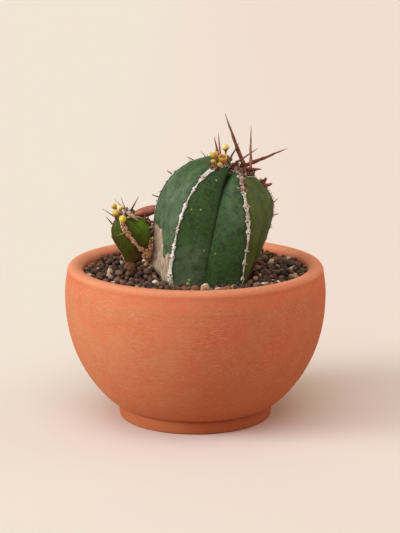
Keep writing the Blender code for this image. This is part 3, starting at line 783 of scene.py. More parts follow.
def surface_normal(stem, turn, level):
    left = stem_point(stem, turn - NORMAL_TURN, level)
    right = stem_point(stem, turn + NORMAL_TURN, level)
    below = stem_point(stem, turn, level - NORMAL_LEVEL)
    above = stem_point(stem, turn, min(level + NORMAL_LEVEL, 1.0))
    return (right - left).cross(above - below).normalized()


crown = stem_point(MAIN_STEM, 0.0, 1.0)
print("The crown is at", [round(value / MM, 1) for value in crown], "mm")

# %% [markdown]
# ### Cork, scars and bark
# Euphorbia crests carry a spine shield every centimetre or so: a little corky cushion with two
# scars where small spines stood. On old ribs the cushions join into one pale ragged line. A
# cork line is a path of places on the stem with a width at each place. A vertex near the path is
# lifted and marked, wider and higher at each shield.

# %% Paths of cork and their shields
CorkLine = namedtuple("CorkLine", "places half_widths height shields")
Shield = namedtuple("Shield", "centre along side outward size")
CREST_STEPS = 160
SHIELD_SIGHT = 4.0 * MM
SHIELD_LENGTH = 1.5 * MM
SHIELD_WIDTH = 0.75 * MM
SHIELD_RISE = 0.30 * MM
SCAR_OFFSET = 0.72 * MM
SCAR_RADIUS = 0.78 * MM
SHADE_WIDTH = 2.0 * MM
CORK_SIGHT = 3.2 * MM
NIBBLE_SCALE = 520.0
CRUMB_SCALE = 1300.0


def crest_line(stem, number, widths, height, spacing, dice, aside=0.0):
    """A cork line up one crest. Widths are pairs of level and half width in millimetres."""
    stops, half_widths = zip(*widths)
    levels = np.linspace(stops[0], stops[-1], CREST_STEPS)
    places = [stem_point(stem, number + aside, float(level)) for level in levels]
    shields = []
    walked = spacing * dice.uniform(0.1, 0.7)
    for index in range(1, len(places) - 1):
        walked -= (places[index] - places[index - 1]).length
        if walked < 0.0:
            along = (places[index + 1] - places[index - 1]).normalized()
            outward = surface_normal(stem, float(number), float(levels[index]))
            side = along.cross(outward).normalized()
            size = dice.uniform(0.8, 1.25)
            shields.append(Shield(places[index], along, side, outward, size))
            walked = spacing * dice.uniform(0.7, 1.3)
    return CorkLine(places, np.interp(levels, stops, half_widths) * MM, height, shields)


def free_line(stem, stops, height):
    """A cork line through stops of turn, level and half width in millimetres."""
    places = []
    half_widths = []
    for share in np.linspace(0.0, len(stops) - 1.0, 12 * len(stops)):
        turn, level, half_width = (np.interp(share, range(len(stops)), row) for row in zip(*stops))
        places.append(stem_point(stem, float(turn), float(level)))
        half_widths.append(half_width * MM)
    return CorkLine(places, half_widths, height, [])


def tree_of_points(places):
    tree = KDTree(len(places))
    for index, place in enumerate(places):
        tree.insert(place, index)
    tree.balance()
    return tree


def cork_at(line, point, tree):
    """Cork cover, lift, scar and shade at a point near the line. Only the lift is in metres."""
    spot, index, gap = tree.find(point)
    half_width = float(line.half_widths[index])
    if gap > 2.0 * half_width + CORK_SIGHT:
        return 0.0, 0.0, 0.0, 0.0
    swell = 0.0
    scar = 0.0
    for shield in line.shields:
        away = point - shield.centre
        if away.length < SHIELD_SIGHT:
            reach = away.dot(shield.along) / (SHIELD_LENGTH * shield.size)
            swell = max(swell, shield.size * math.exp(-reach * reach))
            for way in (-1.0, 1.0):
                mark = SCAR_OFFSET * way * (shield.side + 0.8 * shield.along) * shield.size
                scar = max(scar, 1.0 - (away - mark).length / SCAR_RADIUS)
    ragged = noise.noise(spot * NIBBLE_SCALE) + 0.6 * noise.noise(point * CRUMB_SCALE)
    width = half_width * (1.0 + 0.5 * ragged) + SHIELD_WIDTH * swell
    cover = 1.0 - smooth_step(gap, 0.7 * width, 1.15 * width)
    lift = cover * (line.height * (1.0 + 0.5 * ragged) + SHIELD_RISE * swell)
    shade = 1.0 - smooth_step(gap - width, 0.0, SHADE_WIDTH)
    return cover, lift, max(0.0, scar), shade


# %% Reshape a sphere into a finely detailed stem
MARKS = ("cork", "scar", "shade", "bark", "bloom", "olive", "groove", "rust_and_shade", "speck")
SKIN_LUMP = 0.22 * MM
LUMP_SCALE = 110.0
STREAK_SCALE = 900.0
STREAK_STRETCH = 0.3
RIND_HEIGHT = 0.3 * MM
SCAR_DEPTH = 0.25 * MM
CREASE_DEPTH = 0.4 * MM
BARK_EDGE = 0.012
CORK_START = 0.08


def crowded(share):
    """Crowds columns near the crests, at 0 and 1, and a little in the groove, at 0.5."""
    turn = math.tau * share
    return share - (0.25 * math.sin(turn) + 0.30 * math.sin(2.0 * turn)) / math.tau


def stem_shape(stem, columns_per_rib, rows, cork_lines, bark_level, tones_at):
    """The detailed stem. tones_at(turn, level, point) gives bloom, olive, groove (painted shade),
    rust_and_shade, speck.
    """
    shape = bmesh.new()
    columns = columns_per_rib * len(stem.ribs)
    bmesh.ops.create_uvsphere(shape, u_segments=columns, v_segments=rows, radius=1.0)
    layers = [shape.verts.layers.float.new(name) for name in MARKS]
    places = {}
    for vert in shape.verts:
        around = math.atan2(vert.co.y, vert.co.x) / math.tau
        number, part = divmod(round(around * columns) % columns, columns_per_rib)
        turn = number + crowded(part / columns_per_rib)
        level = 1.0 - math.acos(max(-1.0, min(1.0, vert.co.z))) / math.pi
        places[vert] = (turn, level)
        vert.co = stem_point(stem, turn, level)
    shape.normal_update()
    trees = [(line, tree_of_points(line.places)) for line in cork_lines]
    moves = []
    for vert in shape.verts:
        turn, level = places[vert]
        point = vert.co
        cover = lift = scar = shade = 0.0
        if level > CORK_START:
            found = [cork_at(line, point, tree) for line, tree in trees]
            cover, lift, scar, shade = (max(values) for values in zip(*found))
        bark = smooth_step(bark_level(turn) - level, -BARK_EDGE, BARK_EDGE)
        tones = tones_at(turn, level, point)
        for layer, value in zip(layers, (cover, scar, shade, bark, *tones)):
            vert[layer] = value
        lump = SKIN_LUMP * noise.noise(point * LUMP_SCALE)
        streak = noise.noise(Vector((point.x, point.y, point.z * STREAK_STRETCH)) * STREAK_SCALE)
        rind = bark * RIND_HEIGHT * (0.5 + streak)
        dent = scar * SCAR_DEPTH + tones[2] * CREASE_DEPTH
        moves.append((lump + lift + rind - dent) * vert.normal)
    for vert, move in zip(shape.verts, moves):
        vert.co += move
    return shape


# %% [markdown]
# ### The main stem
# Two crests face the viewer. Bark has climbed the lower left, highest just in front of the left
# crest, where it is swollen beside the offset, and a smaller patch sits behind the foot of the
# right-hand crest. The front groove is a sharp dark crease at the top and only a fine line near
# the soil, and its dark line is painted shade. The dark brown in the hollow at the foot of the
# right-hand crest is painted shade too, and the half of the front face right of the groove, which
# faces the lamp, is painted paler, as painted light. A few pale specks are old knocks.

# %% Main stem: where its cork, bark and specks are
dice = random.Random(4)
MAIN_SHIELD_SPACING = 8.5 * MM
MAIN_CORK_HEIGHT = 0.34 * MM
PLAIN_CREST = ((0.13, 0.7), (0.25, 0.4), (0.9, 0.4))
LEFT_CREST = (
    (0.13, 1.2), (0.22, 1.1), (0.30, 0.9), (0.36, 0.65), (0.45, 0.55), (0.60, 0.45),
    (0.69, 0.4), (0.735, 0.8), (0.77, 1.3), (0.81, 1.0), (0.87, 0.3),
)
RIGHT_CREST = (
    (0.13, 0.6), (0.28, 0.7), (0.36, 0.9), (0.42, 0.6), (0.50, 1.0), (0.60, 1.2),
    (0.70, 1.3), (0.76, 0.9), (0.82, 1.2), (0.90, 1.2), (0.96, 0.9),
)
RIGHT_CREST_ASIDE = 0.03
main_lines = [
    crest_line(MAIN_STEM, number, widths, MAIN_CORK_HEIGHT, MAIN_SHIELD_SPACING, dice, aside)
    for number, widths, aside in (
        (0, PLAIN_CREST, 0.0),
        (1, LEFT_CREST, 0.0),
        (2, RIGHT_CREST, RIGHT_CREST_ASIDE),
        (3, PLAIN_CREST, 0.0),
        (4, PLAIN_CREST, 0.0),
        (5, PLAIN_CREST, 0.0),
    )
]
crown_patch = ((1.12, 0.86, 0.8), (1.08, 0.90, 1.2), (0.9, 0.945, 1.2), (0.7, 0.97, 0.9))
main_lines.append(free_line(MAIN_STEM, crown_patch, 0.3 * MM))
crown_rim = ((2.02, 0.90, 0.8), (2.3, 0.885, 0.35), (2.7, 0.865, 0.35), (2.95, 0.82, 0.3))
main_lines.append(free_line(MAIN_STEM, crown_rim, 0.15 * MM))
BARK_TOP = (
    (-0.9, 0.16), (-0.5, 0.25), (-0.2, 0.34), (0.2, 0.36), (0.48, 0.372), (0.57, 0.358),
    (0.65, 0.325), (0.70, 0.264), (0.775, 0.245), (0.84, 0.30), (0.95, 0.31), (1.02, 0.22),
    (1.08, 0.1), (2.8, 0.1), (3.2, 0.19), (4.0, 0.22), (4.6, 0.17), (5.1, 0.16),
)
SPECK_PLACES = (
    (1.275, 0.751), (1.125, 0.539), (1.25, 0.551), (1.425, 0.376), (1.575, 0.370),
    (1.275, 0.164), (2.8, 0.539),
)
MAIN_SPECKS = [stem_point(MAIN_STEM, turn, level) for turn, level in SPECK_PLACES]
SPECK_RADIUS = 0.75 * MM
BACK_TURN = 5.1
print(len(main_lines), "cork lines,", sum(len(line.shields) for line in main_lines), "shields")


# %% Main stem: its tones
def from_behind(turn):
    """The turn counted so that the back of the stem comes before the left crest."""
    return turn if turn < BACK_TURN else turn - len(MAIN_STEM.ribs)


def main_bark(turn):
    return float(np.interp(from_behind(turn), *zip(*BARK_TOP)))


def window(value, low, full, falling, gone):
    """Rises from low to full, and falls again from falling to gone."""
    return smooth_step(value, low, full) * (1.0 - smooth_step(value, falling, gone))


def main_tones(turn, level, point):
    """Bloom and painted light on the left, olive and painted warm light on the right, a painted
    shade line in each groove, rust at the crown and painted shade at the right crest's foot.
    """
    wrapped = from_behind(turn)
    bloom = (1.0 - smooth_step(wrapped, 0.94, 1.0)) * (1.0 - 0.75 * smooth_step(level, 0.5, 0.8))
    # Painted light: the half of the front face right of the groove, which faces the lamp, is painted
    # paler.
    beside_groove = window(wrapped, 1.56, 1.72, 1.92, 2.0)
    bloom = max(bloom, 0.75 * beside_groove * smooth_step(level, 0.35, 0.75))
    before_groove = window(wrapped, 1.0, 1.1, 1.42, 1.5)
    bloom = max(bloom, before_groove * (1.0 - smooth_step(level, 0.26, 0.46)))
    # Painted warm light: the right flank and the back take the olive tone.
    olive = smooth_step(wrapped, 2.0, 2.12)
    across = turn - math.floor(turn)
    # Painted shade: a dark line down the middle of the grooves.
    narrow = 0.016 + 0.028 * smooth_step(level, 0.45, 0.85)
    line = 1.0 - smooth_step(abs(across - 0.5), 0.2 * narrow, narrow)
    creased = 1.0 if 1.0 < wrapped < 2.0 or wrapped > 3.0 else 0.0
    groove = line * (0.3 + 0.7 * smooth_step(level, 0.33, 0.5)) * smooth_step(level, 0.12, 0.2)
    rust_and_shade = 0.6 * smooth_step(level, 0.93, 0.985)
    # Painted shade: the hollow at the foot of the right crest is painted dark brown.
    foot_edge = 0.155 + 0.1 * smooth_step(wrapped, 2.15, 2.5)
    foot = window(wrapped, 2.02, 2.12, 2.9, 3.3)
    foot *= 1.0 - smooth_step(level, foot_edge - 0.02, foot_edge)
    speck = max(1.0 - (point - spot).length / SPECK_RADIUS for spot in MAIN_SPECKS)
    return bloom, olive, groove * creased, max(rust_and_shade, foot), max(0.0, speck)


main_shape = stem_shape(MAIN_STEM, 48, 300, main_lines, main_bark, main_tones)
main_piece = finish_piece("ribbed_stem", main_shape, old_skin, ["main_stem"])

# %% [markdown]
# ### The offset
# The young offset is brighter green. Its front crest is a broad tan ridge with pairs of dark
# scars, and dry tan blades of dead tissue run from the crown down to the right.

# %% Offset stem
THIN_CREST = ((0.2, 0.25), (0.5, 0.35), (0.9, 0.4))
FRONT_CREST = ((0.13, 0.45), (0.3, 0.6), (0.45, 0.9), (0.6, 1.45), (0.72, 1.2), (0.88, 0.5))
OFFSET_SHIELD_SPACING = 6.0 * MM
offset_lines = [
    crest_line(OFFSET_STEM, number, widths, height * MM, OFFSET_SHIELD_SPACING, dice)
    for number, widths, height in (
        (0, THIN_CREST, 0.2),
        (1, FRONT_CREST, 0.4),
        (2, THIN_CREST, 0.2),
        (3, THIN_CREST, 0.2),
        (4, THIN_CREST, 0.2),
    )
]


def offset_bark(turn):
    """The offset is young: its bark stays under the soil all the way round."""
    return 0.05


def offset_tones(turn, level, point):
    """Dark red-brown along the lower left edge and towards the bottom, pinkish and dry at the crown,
    and a painted shade line in the grooves.
    """
    bloom = 0.8 * smooth_step(level, 0.45, 0.8)
    across = turn - math.floor(turn)
    # Painted shade: a dark line down the middle of the grooves.
    line = 1.0 - smooth_step(abs(across - 0.5), 0.01, 0.05)
    groove = 0.8 * line * smooth_step(level, 0.4, 0.6) * (1.0 if turn > 2.0 else 0.3)
    round_left = min(turn, len(OFFSET_STEM.ribs) - turn)
    left_edge = (1.0 - smooth_step(round_left, 0.05, 0.35)) * (1.0 - smooth_step(level, 0.4, 0.7))
    under = 1.0 - smooth_step(level, 0.15, 0.5)
    rust_and_shade = max(0.6 * left_edge, 0.6 * under, 0.8 * smooth_step(level, 0.88, 0.96))
    return bloom, smooth_step(turn, 1.1, 1.6), groove, rust_and_shade, 0.0


offset_shape = stem_shape(OFFSET_STEM, 36, 150, offset_lines, offset_bark, offset_tones)
offset_piece = finish_piece(
    "young_offset", offset_shape, young_skin, ["offset_stem"]
)

# %% [markdown]
# ## Woody pieces
# The offset stands on a red-brown neck and leans on a corky knot. Both start as a plain shape
# whose vertices are pushed about by smooth noise, and the dried shoot is a sphere drawn out
# along its length.

# %% Neck and knot
TINY = 1e-6


def outward_from_axis(point):
    """Unit direction away from the Z axis, or nothing on the axis itself."""
    return point.xy.normalized() if point.xy.length > TINY else point.xy * 0.0


def roughen(shape, amount, scale, stretch=1.0):
    """Push each vertex along its normal by smooth noise, streaked along Z by the stretch."""
    shape.normal_update()
    moves = []
    for vert in shape.verts:
        probe = Vector((vert.co.x, vert.co.y, vert.co.z * stretch)) * scale
        moves.append(vert.normal * (amount * (noise.noise(probe) + 0.5 * noise.noise(probe * 2.3))))
    for vert, move in zip(shape.verts, moves):
        vert.co += move


def set_mark(shape, name, value_at):
    """Store a value for every vertex under a name that materials can read."""
    layer = shape.verts.layers.float.new(name)
    for vert in shape.verts:
        vert[layer] = value_at(vert.co)


def middle_of(box):
    low, high = box
    return (low + high) / 2.0


NECK_HEIGHT = 16.0 * MM
NECK_SQUARENESS = 6
NECK_TAPER = 0.06
NECK_FILL = 0.95
neck_low, neck_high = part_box("offset_neck")
neck_middle = middle_of((neck_low, neck_high))
neck_radius = (neck_high.x - neck_low.x) / 2.0
shape = bmesh.new()
bmesh.ops.create_uvsphere(shape, u_segments=48, v_segments=40, radius=1.0)
for vert in shape.verts:
    width = (1.0 - abs(vert.co.z) ** NECK_SQUARENESS) ** 0.5
    reach = neck_radius * width * (1.0 - NECK_TAPER * vert.co.z) * NECK_FILL
    vert.co.xy = neck_middle.xy + outward_from_axis(vert.co) * reach
    vert.co.z = neck_low.z + NECK_HEIGHT * (0.5 + 0.5 * vert.co.z)
roughen(shape, 0.8 * MM, 240.0, 0.35)
set_mark(shape, "tan", lambda point: 0.0)
neck_piece = finish_piece("woody_neck", shape, dry_bark, ["offset_neck"])

KNOT_FILL = 0.44
knot_low, knot_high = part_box("offset_knot")
knot_middle = middle_of((knot_low, knot_high))
shape = bmesh.new()
bmesh.ops.create_icosphere(shape, subdivisions=5, radius=1.0)
for vert in shape.verts:
    vert.co = knot_middle + vert.co * KNOT_FILL * (knot_high - knot_low)
roughen(shape, 1.3 * MM, 380.0)
set_mark(shape, "tan", lambda point: 1.0)
knot_piece = finish_piece("corky_knot", shape, dry_bark, ["offset_knot"])

# %% Bodies drawn out along a line
GAP = 0.35 * MM


def heading(azimuth, elevation):
    """Unit direction: azimuth 0 is the front, +90 is +X, and elevation is above level."""
    side = math.radians(azimuth)
    rise = math.radians(elevation)
    level = math.cos(rise)
    return Vector((math.sin(side) * level, -math.cos(side) * level, math.sin(rise)))


def facing(azimuth, elevation):
    return heading(azimuth, elevation).to_track_quat("Z", "Y")


def drawn_out(sides, rows, length, radius_at, bend=0.0):
    """A sphere drawn out along +Z, with its radius given along its length."""
    shape = bmesh.new()
    bmesh.ops.create_uvsphere(shape, u_segments=sides, v_segments=rows, radius=1.0)
    along = shape.verts.layers.float.new("along")
    for vert in shape.verts:
        share = (1.0 + vert.co.z) / 2.0
        outward = outward_from_axis(vert.co) * radius_at(share)
        sway = bend * 4.0 * share * (1.0 - share)
        vert.co = (outward.x + sway, outward.y, share * length)
        vert[along] = share
    return shape


def hump(share):
    """Nothing at either end and 1 in the middle."""
    return 4.0 * share * (1.0 - share)


def stand_on(stem, turn, level, radius):
    """Where a piece of that radius stands on the CAD stem, clear by the gap."""
    lift = GAP + 0.9 * radius
    return stem_point(stem, turn, level) + surface_normal(stem, turn, level) * lift


def set_down(shape, place, turn):
    """Move a shape that was made along +Z to its place and direction."""
    bmesh.ops.rotate(shape, verts=shape.verts, cent=ORIGIN, matrix=turn.to_matrix())
    bmesh.ops.translate(shape, verts=shape.verts, vec=place)


# %% Dried side shoot
SHOOT_LENGTH = 17.0 * MM
SHOOT_RADIUS = 3.0 * MM
WINE_HEIGHT = 4.5 * MM
shape = drawn_out(40, 60, SHOOT_LENGTH, lambda share: SHOOT_RADIUS * hump(share) ** 0.35)
roughen(shape, 0.18 * MM, 260.0, 0.4)
set_down(shape, stand_on(MAIN_STEM, 5.8, 0.40, SHOOT_RADIUS / 2.0), facing(-95, -18))
wine_low = min(vert.co.z for vert in shape.verts)
wine_high = wine_low + WINE_HEIGHT
set_mark(shape, "wine", lambda point: 0.8 * (1.0 - smooth_step(point.z, wine_low, wine_high)))
finish_piece("dried_shoot", shape, dried_skin, ["dried_side_shoot"])

# %% [markdown]
# ## Dried flower stalks
# What look like spines are old flower stalks. Each is thick and round at its foot and tapers to
# a thin tip, a little crooked, with faint joints. The foot stays put so that it still stands on
# the rib.

# %% Spines of the crown and the offset
# Lengths, radii and bends are in millimetres, and angles in degrees.
SPINE_ROW = "stem node turn level length azimuth elevation radius colour bend"
Spine = namedtuple("Spine", SPINE_ROW, defaults=[0.0])
RED_BROWN = screen(142, 72, 50)
PINKISH = screen(176, 112, 94)
CHESTNUT = screen(128, 62, 40)
DARK_RED = screen(112, 42, 28)
DULL_BROWN = screen(116, 76, 58)
DARK_BROWN = screen(78, 42, 32)
PURPLE_GREY = screen(118, 86, 76)
GREENISH_TAN = screen(176, 150, 98)
RAW_PINK = screen(196, 96, 88)
SALMON = screen(186, 104, 90)
MAIN_SPINES = (
    ("crown_spine_tall", 4, 0.88, 30.9, -106, 69, 1.45, CHESTNUT, 0.8),
    ("crown_spine_upright", 3.1, 0.90, 27.5, 178, 84, 1.05, PINKISH, 0.2),
    ("crown_spine_long_right", 4, 0.85, 26.7, 85, 23, 1.3, CHESTNUT, -0.5),
    ("crown_spine_crossing", 4.87, 0.955, 19.4, 74, 35, 0.8, DULL_BROWN),
    ("crown_spine_wedge", 2.75, 0.925, 9.2, 60, 5, 1.5, DARK_RED),
    ("crown_spine_dark", 2, 0.97, 11.9, -51, 57, 0.8, DARK_BROWN),
    ("crown_spine_faint", 5, 0.93, 12.6, 123, 54, 0.7, DARK_BROWN),
    ("crown_spine_back_left", 5, 0.81, 12.5, -139, 71, 0.85, DARK_RED),
    ("crown_spine_back_right", 5.1, 0.85, 13.9, -150, 80, 0.8, PINKISH),
    ("crown_spine_slender", 1, 0.80, 13.3, -73, 59, 0.55, PURPLE_GREY, 0.6),
    ("crown_spine_short", 0, 0.88, 4.8, -57, 68, 0.35, DARK_BROWN),
    ("right_stub_upper", 3, 0.80, 3.6, 28, 50, 1.1, RAW_PINK),
    ("right_stub_lower", 3, 0.765, 3.4, 70, 20, 0.95, SALMON),
    ("left_spine_upper", 0, 0.735, 4.2, -90, 26, 0.35, DARK_BROWN),
    ("left_spine_middle", 0, 0.595, 3.4, -80, 36, 0.4, PURPLE_GREY),
    ("left_spine_lower", 0, 0.455, 3.6, -80, 22, 0.4, PURPLE_GREY),
    ("right_spine_upper", 3, 0.60, 4.0, 60, 50, 0.35, PINKISH),
    ("right_spine_lower", 3, 0.49, 2.8, 90, 16, 0.35, PINKISH),
)
OFFSET_SPINES = (
    ("offset_spine_left", 4.85, 0.84, 10.0, -96, 31, 0.45, PURPLE_GREY),
    ("offset_spine_low_left", 0, 0.76, 5.8, -80, 50, 0.45, DARK_BROWN),
    ("offset_spine_back_left", 4, 0.82, 7.2, -95, 43, 0.35, PINKISH),
    ("offset_spine_back", 4, 0.85, 6.7, -112, 67, 0.35, PINKISH),
    ("offset_spine_dark", 3, 0.97, 10.8, 101, 60, 0.65, DARK_BROWN, -0.5),
    ("offset_spine_front", 1, 0.56, 6.3, -74, -21, 0.5, GREENISH_TAN),
    ("offset_spine_right", 2, 0.50, 3.6, 40, 8, 0.45, RED_BROWN),
)
SPINES = [Spine(MAIN_STEM, *row) for row in MAIN_SPINES]
SPINES += [Spine(OFFSET_STEM, *row) for row in OFFSET_SPINES]
print(len(SPINES), "dried stalks")
STUB_LENGTH = 3.7
STUB_TAPER = 0.28
STALK_TAPER = 0.7
ROUND_FOOT = 0.05
JOINT_DEPTH = 0.10
CROOKEDNESS = 0.35 * MM
CROOK_SCALE = 180.0
ROOT_DEPTH = 2.2


def paint_verts(shape, name, colour_at):
    layer = shape.verts.layers.float_color.new(name)
    for vert in shape.verts:
        vert[layer] = colour_at(vert.co)


def stalk(item, number):
    """A spine along +Z: round foot, thinner to the tip, faintly jointed and a little crooked."""
    taper = STUB_TAPER if item.length < STUB_LENGTH else STALK_TAPER
    joints = 27.0 + 2.7 * number
    length, radius, bend = mm(item.length, item.radius, item.bend)

    def radius_at(share):
        body = math.sqrt(min(share / ROUND_FOOT, 1.0)) * (1.0 - share) ** taper
        return radius * body * (1.0 + JOINT_DEPTH * math.sin(joints * share))

    shape = drawn_out(12, 34, length, radius_at, bend)
    for vert in shape.verts:
        share = vert.co.z / length
        sway = CROOKEDNESS * hump(share)
        along = vert.co.z * CROOK_SCALE
        vert.co.x += sway * noise.noise(Vector((along, number, 0.0)))
        vert.co.y += sway * noise.noise(Vector((along, 0.0, number)))
        vert.co.z -= ROOT_DEPTH * radius * smooth_step(1.0 - share, 0.78, 1.0)
    paint_verts(shape, "spine_colour", lambda point: item.colour)
    return shape


for number, item in enumerate(SPINES):
    shape = stalk(item, number)
    place = stand_on(item.stem, item.turn, item.level, item.radius * MM)
    set_down(shape, place, facing(item.azimuth, item.elevation))
    finish_piece(f"stalk_{item.node}", shape, horn, [item.node])

# %% [markdown]
# ## Small spines of the shields
# Every shield still carries a pair of tiny spines or their broken stumps. There are more than a
# hundred, so each is a thin five-sided cone, and all of those on one stem are one piece.

# %% Paired small spines
WHITISH = screen(232, 218, 206)
SMALL_SPINE_RADIUS = 0.27 * MM
PAIR_OFFSET = 0.6


def add_copy(target, source):
    """Join one bmesh into another, attributes included."""
    mesh = bpy.data.meshes.new("part")
    source.to_mesh(mesh)
    source.free()
    target.from_mesh(mesh)
    bpy.data.meshes.remove(mesh)


def plant(together, shape, tone, foot, lean):
    """Colour a small shape, stand it at its foot, leaning, and join it to the others."""
    paint_verts(shape, "spine_colour", lambda point: tone)
    set_down(shape, foot, lean.to_track_quat("Z", "Y"))
    add_copy(together, shape)


def small_spines(lines, dice, longest, tones):
    """Pairs of small spines that stand on the shields and lean apart."""
    together = bmesh.new()
    for shield in [shield for line in lines for shield in line.shields]:
        for way in (-1.0, 1.0):
            length = dice.uniform(0.4, 1.0) * longest
            lean = shield.outward + shield.side * way * dice.uniform(0.5, 1.2)
            lean.z += dice.uniform(-0.2, 0.4)
            tone = dice.choice(tones)
            shape = drawn_out(5, 5, length, lambda share: SMALL_SPINE_RADIUS * (1.0 - share) ** 0.7)
            foot = shield.centre + shield.side * way * PAIR_OFFSET * MM
            plant(together, shape, tone, foot, lean)
    return together


main_tufts = small_spines(main_lines, dice, 2.7 * MM, (WHITISH, WHITISH, WHITISH, PURPLE_GREY))
finish_piece("stem_small_spines", main_tufts, horn)
offset_tufts = small_spines(offset_lines, dice, 1.5 * MM, (PINKISH, RED_BROWN, PURPLE_GREY))
finish_piece("offset_small_spines", offset_tufts, horn)

# %% [markdown]
# ## Dry scales in the crown
# Between the stalks the growing point is full of dead leaf bases and stalk stumps. They are
# small blunt scales that lean in every direction, red-brown to pinkish. The same scales make the
# dry tufts beside the crests and where the offset touches the bark.

# %% Crown scales
TISSUE_BROWN = screen(112, 60, 44)
MAUVE = screen(168, 146, 138)
BLUSH = screen(204, 162, 146)
CREAM_OLIVE = screen(176, 158, 96)
RAW_RED = screen(188, 88, 78)


def blunt(share):
    """Width along a dry scale, which is widest near its middle and blunt at its tip."""
    return (1.0 - share) ** 0.45 * (0.5 + share)


def dry_scales(name, stem, spots, dice):
    """Scales in patches: range of turns, range of levels, count, length in millimetres, tones."""
    together = bmesh.new()
    for turn_range, level_range, count, size, tones in spots:
        for _ in range(count):
            turn = dice.uniform(*turn_range)
            level = dice.uniform(*level_range)
            length = dice.uniform(0.5, 1.0) * size * MM
            width = dice.uniform(0.18, 0.32) * size * MM
            shape = drawn_out(7, 6, length, lambda share: width * blunt(share))
            flatness = dice.uniform(0.35, 0.9)
            for vert in shape.verts:
                vert.co.y *= flatness
            tone = dice.choice(tones)
            lean = surface_normal(stem, turn, level)
            lean += Vector([dice.uniform(-0.8, 0.8) for _ in range(3)])
            foot = stem_point(stem, turn, level) - 0.3 * width * lean.normalized()
            plant(together, shape, tone, foot, lean)
    finish_piece(name, together, horn)


CROWN_TONES = (TISSUE_BROWN, TISSUE_BROWN, CHESTNUT, MAUVE, BLUSH, BLUSH)
NECK_TONES = (BLUSH, DARK_RED, TISSUE_BROWN, TISSUE_BROWN, MAUVE)
main_spots = (
    ((3.0, 5.4), (0.86, 0.99), 90, 4.6, CROWN_TONES),
    ((2.2, 3.0), (0.88, 0.97), 36, 3.2, (TISSUE_BROWN, RED_BROWN, BLUSH)),
    ((1.95, 2.3), (0.86, 0.93), 16, 2.6, (BLUSH, MAUVE, TISSUE_BROWN)),
    ((1.95, 2.12), (0.82, 0.87), 14, 2.8, (CREAM_OLIVE, CREAM_OLIVE, BLUSH)),
    ((1.93, 2.15), (0.73, 0.81), 24, 2.5, (TISSUE_BROWN, RED_BROWN, BLUSH)),
    ((0.75, 1.12), (0.87, 0.96), 18, 3.0, (MAUVE, MAUVE, BLUSH)),
    ((0.92, 1.15), (0.80, 0.90), 20, 2.4, (TISSUE_BROWN, BLUSH, DARK_BROWN)),
    ((2.9, 3.1), (0.75, 0.83), 26, 2.5, (RAW_RED, PINKISH, BLUSH, TISSUE_BROWN)),
    ((2.95, 3.06), (0.42, 0.72), 44, 1.9, (BLUSH, MAUVE, WHITISH, PINKISH)),
    ((1.3, 1.92), (0.935, 0.975), 22, 2.6, (MAUVE, MAUVE, BLUSH)),
    ((5.9, 6.0), (0.38, 0.47), 12, 2.6, (BLUSH, DARK_RED, TISSUE_BROWN)),
)
dry_scales("crown_scales", MAIN_STEM, main_spots, dice)
offset_spots = (
    ((0.0, 5.0), (0.88, 0.98), 30, 2.4, (BLUSH, PINKISH, TISSUE_BROWN)),
    ((0.3, 1.6), (0.86, 0.97), 30, 4.0, (BLUSH, WHITISH, WHITISH, PINKISH)),
    ((0.92, 1.12), (0.56, 0.72), 14, 2.2, (TISSUE_BROWN, RED_BROWN, BLUSH)),
    ((1.85, 2.2), (0.22, 0.60), 56, 3.0, NECK_TONES),
    ((1.75, 2.15), (0.18, 0.45), 34, 3.6, (BLUSH, MAUVE, CREAM_OLIVE, MAUVE)),
)
dry_scales("offset_scales", OFFSET_STEM, offset_spots, dice)

# %% [markdown]
# Two dry blades of dead tissue lie on the right face of the offset. Each is a flat body drawn out
# from place to place and arched so that it follows the skin.

# %% Dry blades
BLADE_GAP = 0.25 * MM
BLADE_CURL = 0.35


def dry_blade(stem, start, stop, half_width, arch, colour):
    """A flat blade between two places, each a turn and a level, arched away from the stem."""
    foot = stem_point(stem, *start)
    along = stem_point(stem, *stop) - foot
    outward = surface_normal(stem, (start[0] + stop[0]) / 2.0, (start[1] + stop[1]) / 2.0)
    side = along.cross(outward).normalized()
    outward = side.cross(along).normalized()

    def radius_at(share):
        return half_width * MM * hump(share) ** 0.5 * (1.3 - 0.7 * share)

    shape = drawn_out(14, 20, along.length, radius_at)
    for vert in shape.verts:
        share = vert.co.z / along.length
        lift = BLADE_CURL * vert.co.x + arch * MM * hump(share) + BLADE_GAP
        vert.co = foot + share * along - vert.co.y * side + lift * outward
    roughen(shape, 0.2 * MM, 500.0)
    paint_verts(shape, "spine_colour", lambda point: colour)
    return shape


blades = dry_blade(OFFSET_STEM, (1.15, 0.87), (1.63, 0.60), 1.25, 1.3, screen(218, 180, 150))
low_blade = dry_blade(OFFSET_STEM, (1.25, 0.76), (1.62, 0.74), 0.8, 0.8, screen(196, 150, 116))
add_copy(blades, low_blade)
finish_piece("dry_blades", blades, horn)

# %% [markdown]
# ## Flowers
# A cyathium is a small cup on a short stalk. Its rim carries five yellow glands, which meet in a
# ring, and stamens stand in the darker middle. A bud is the same cup, still closed. Both are
# turned bodies whose rim is then drawn into five lobes.

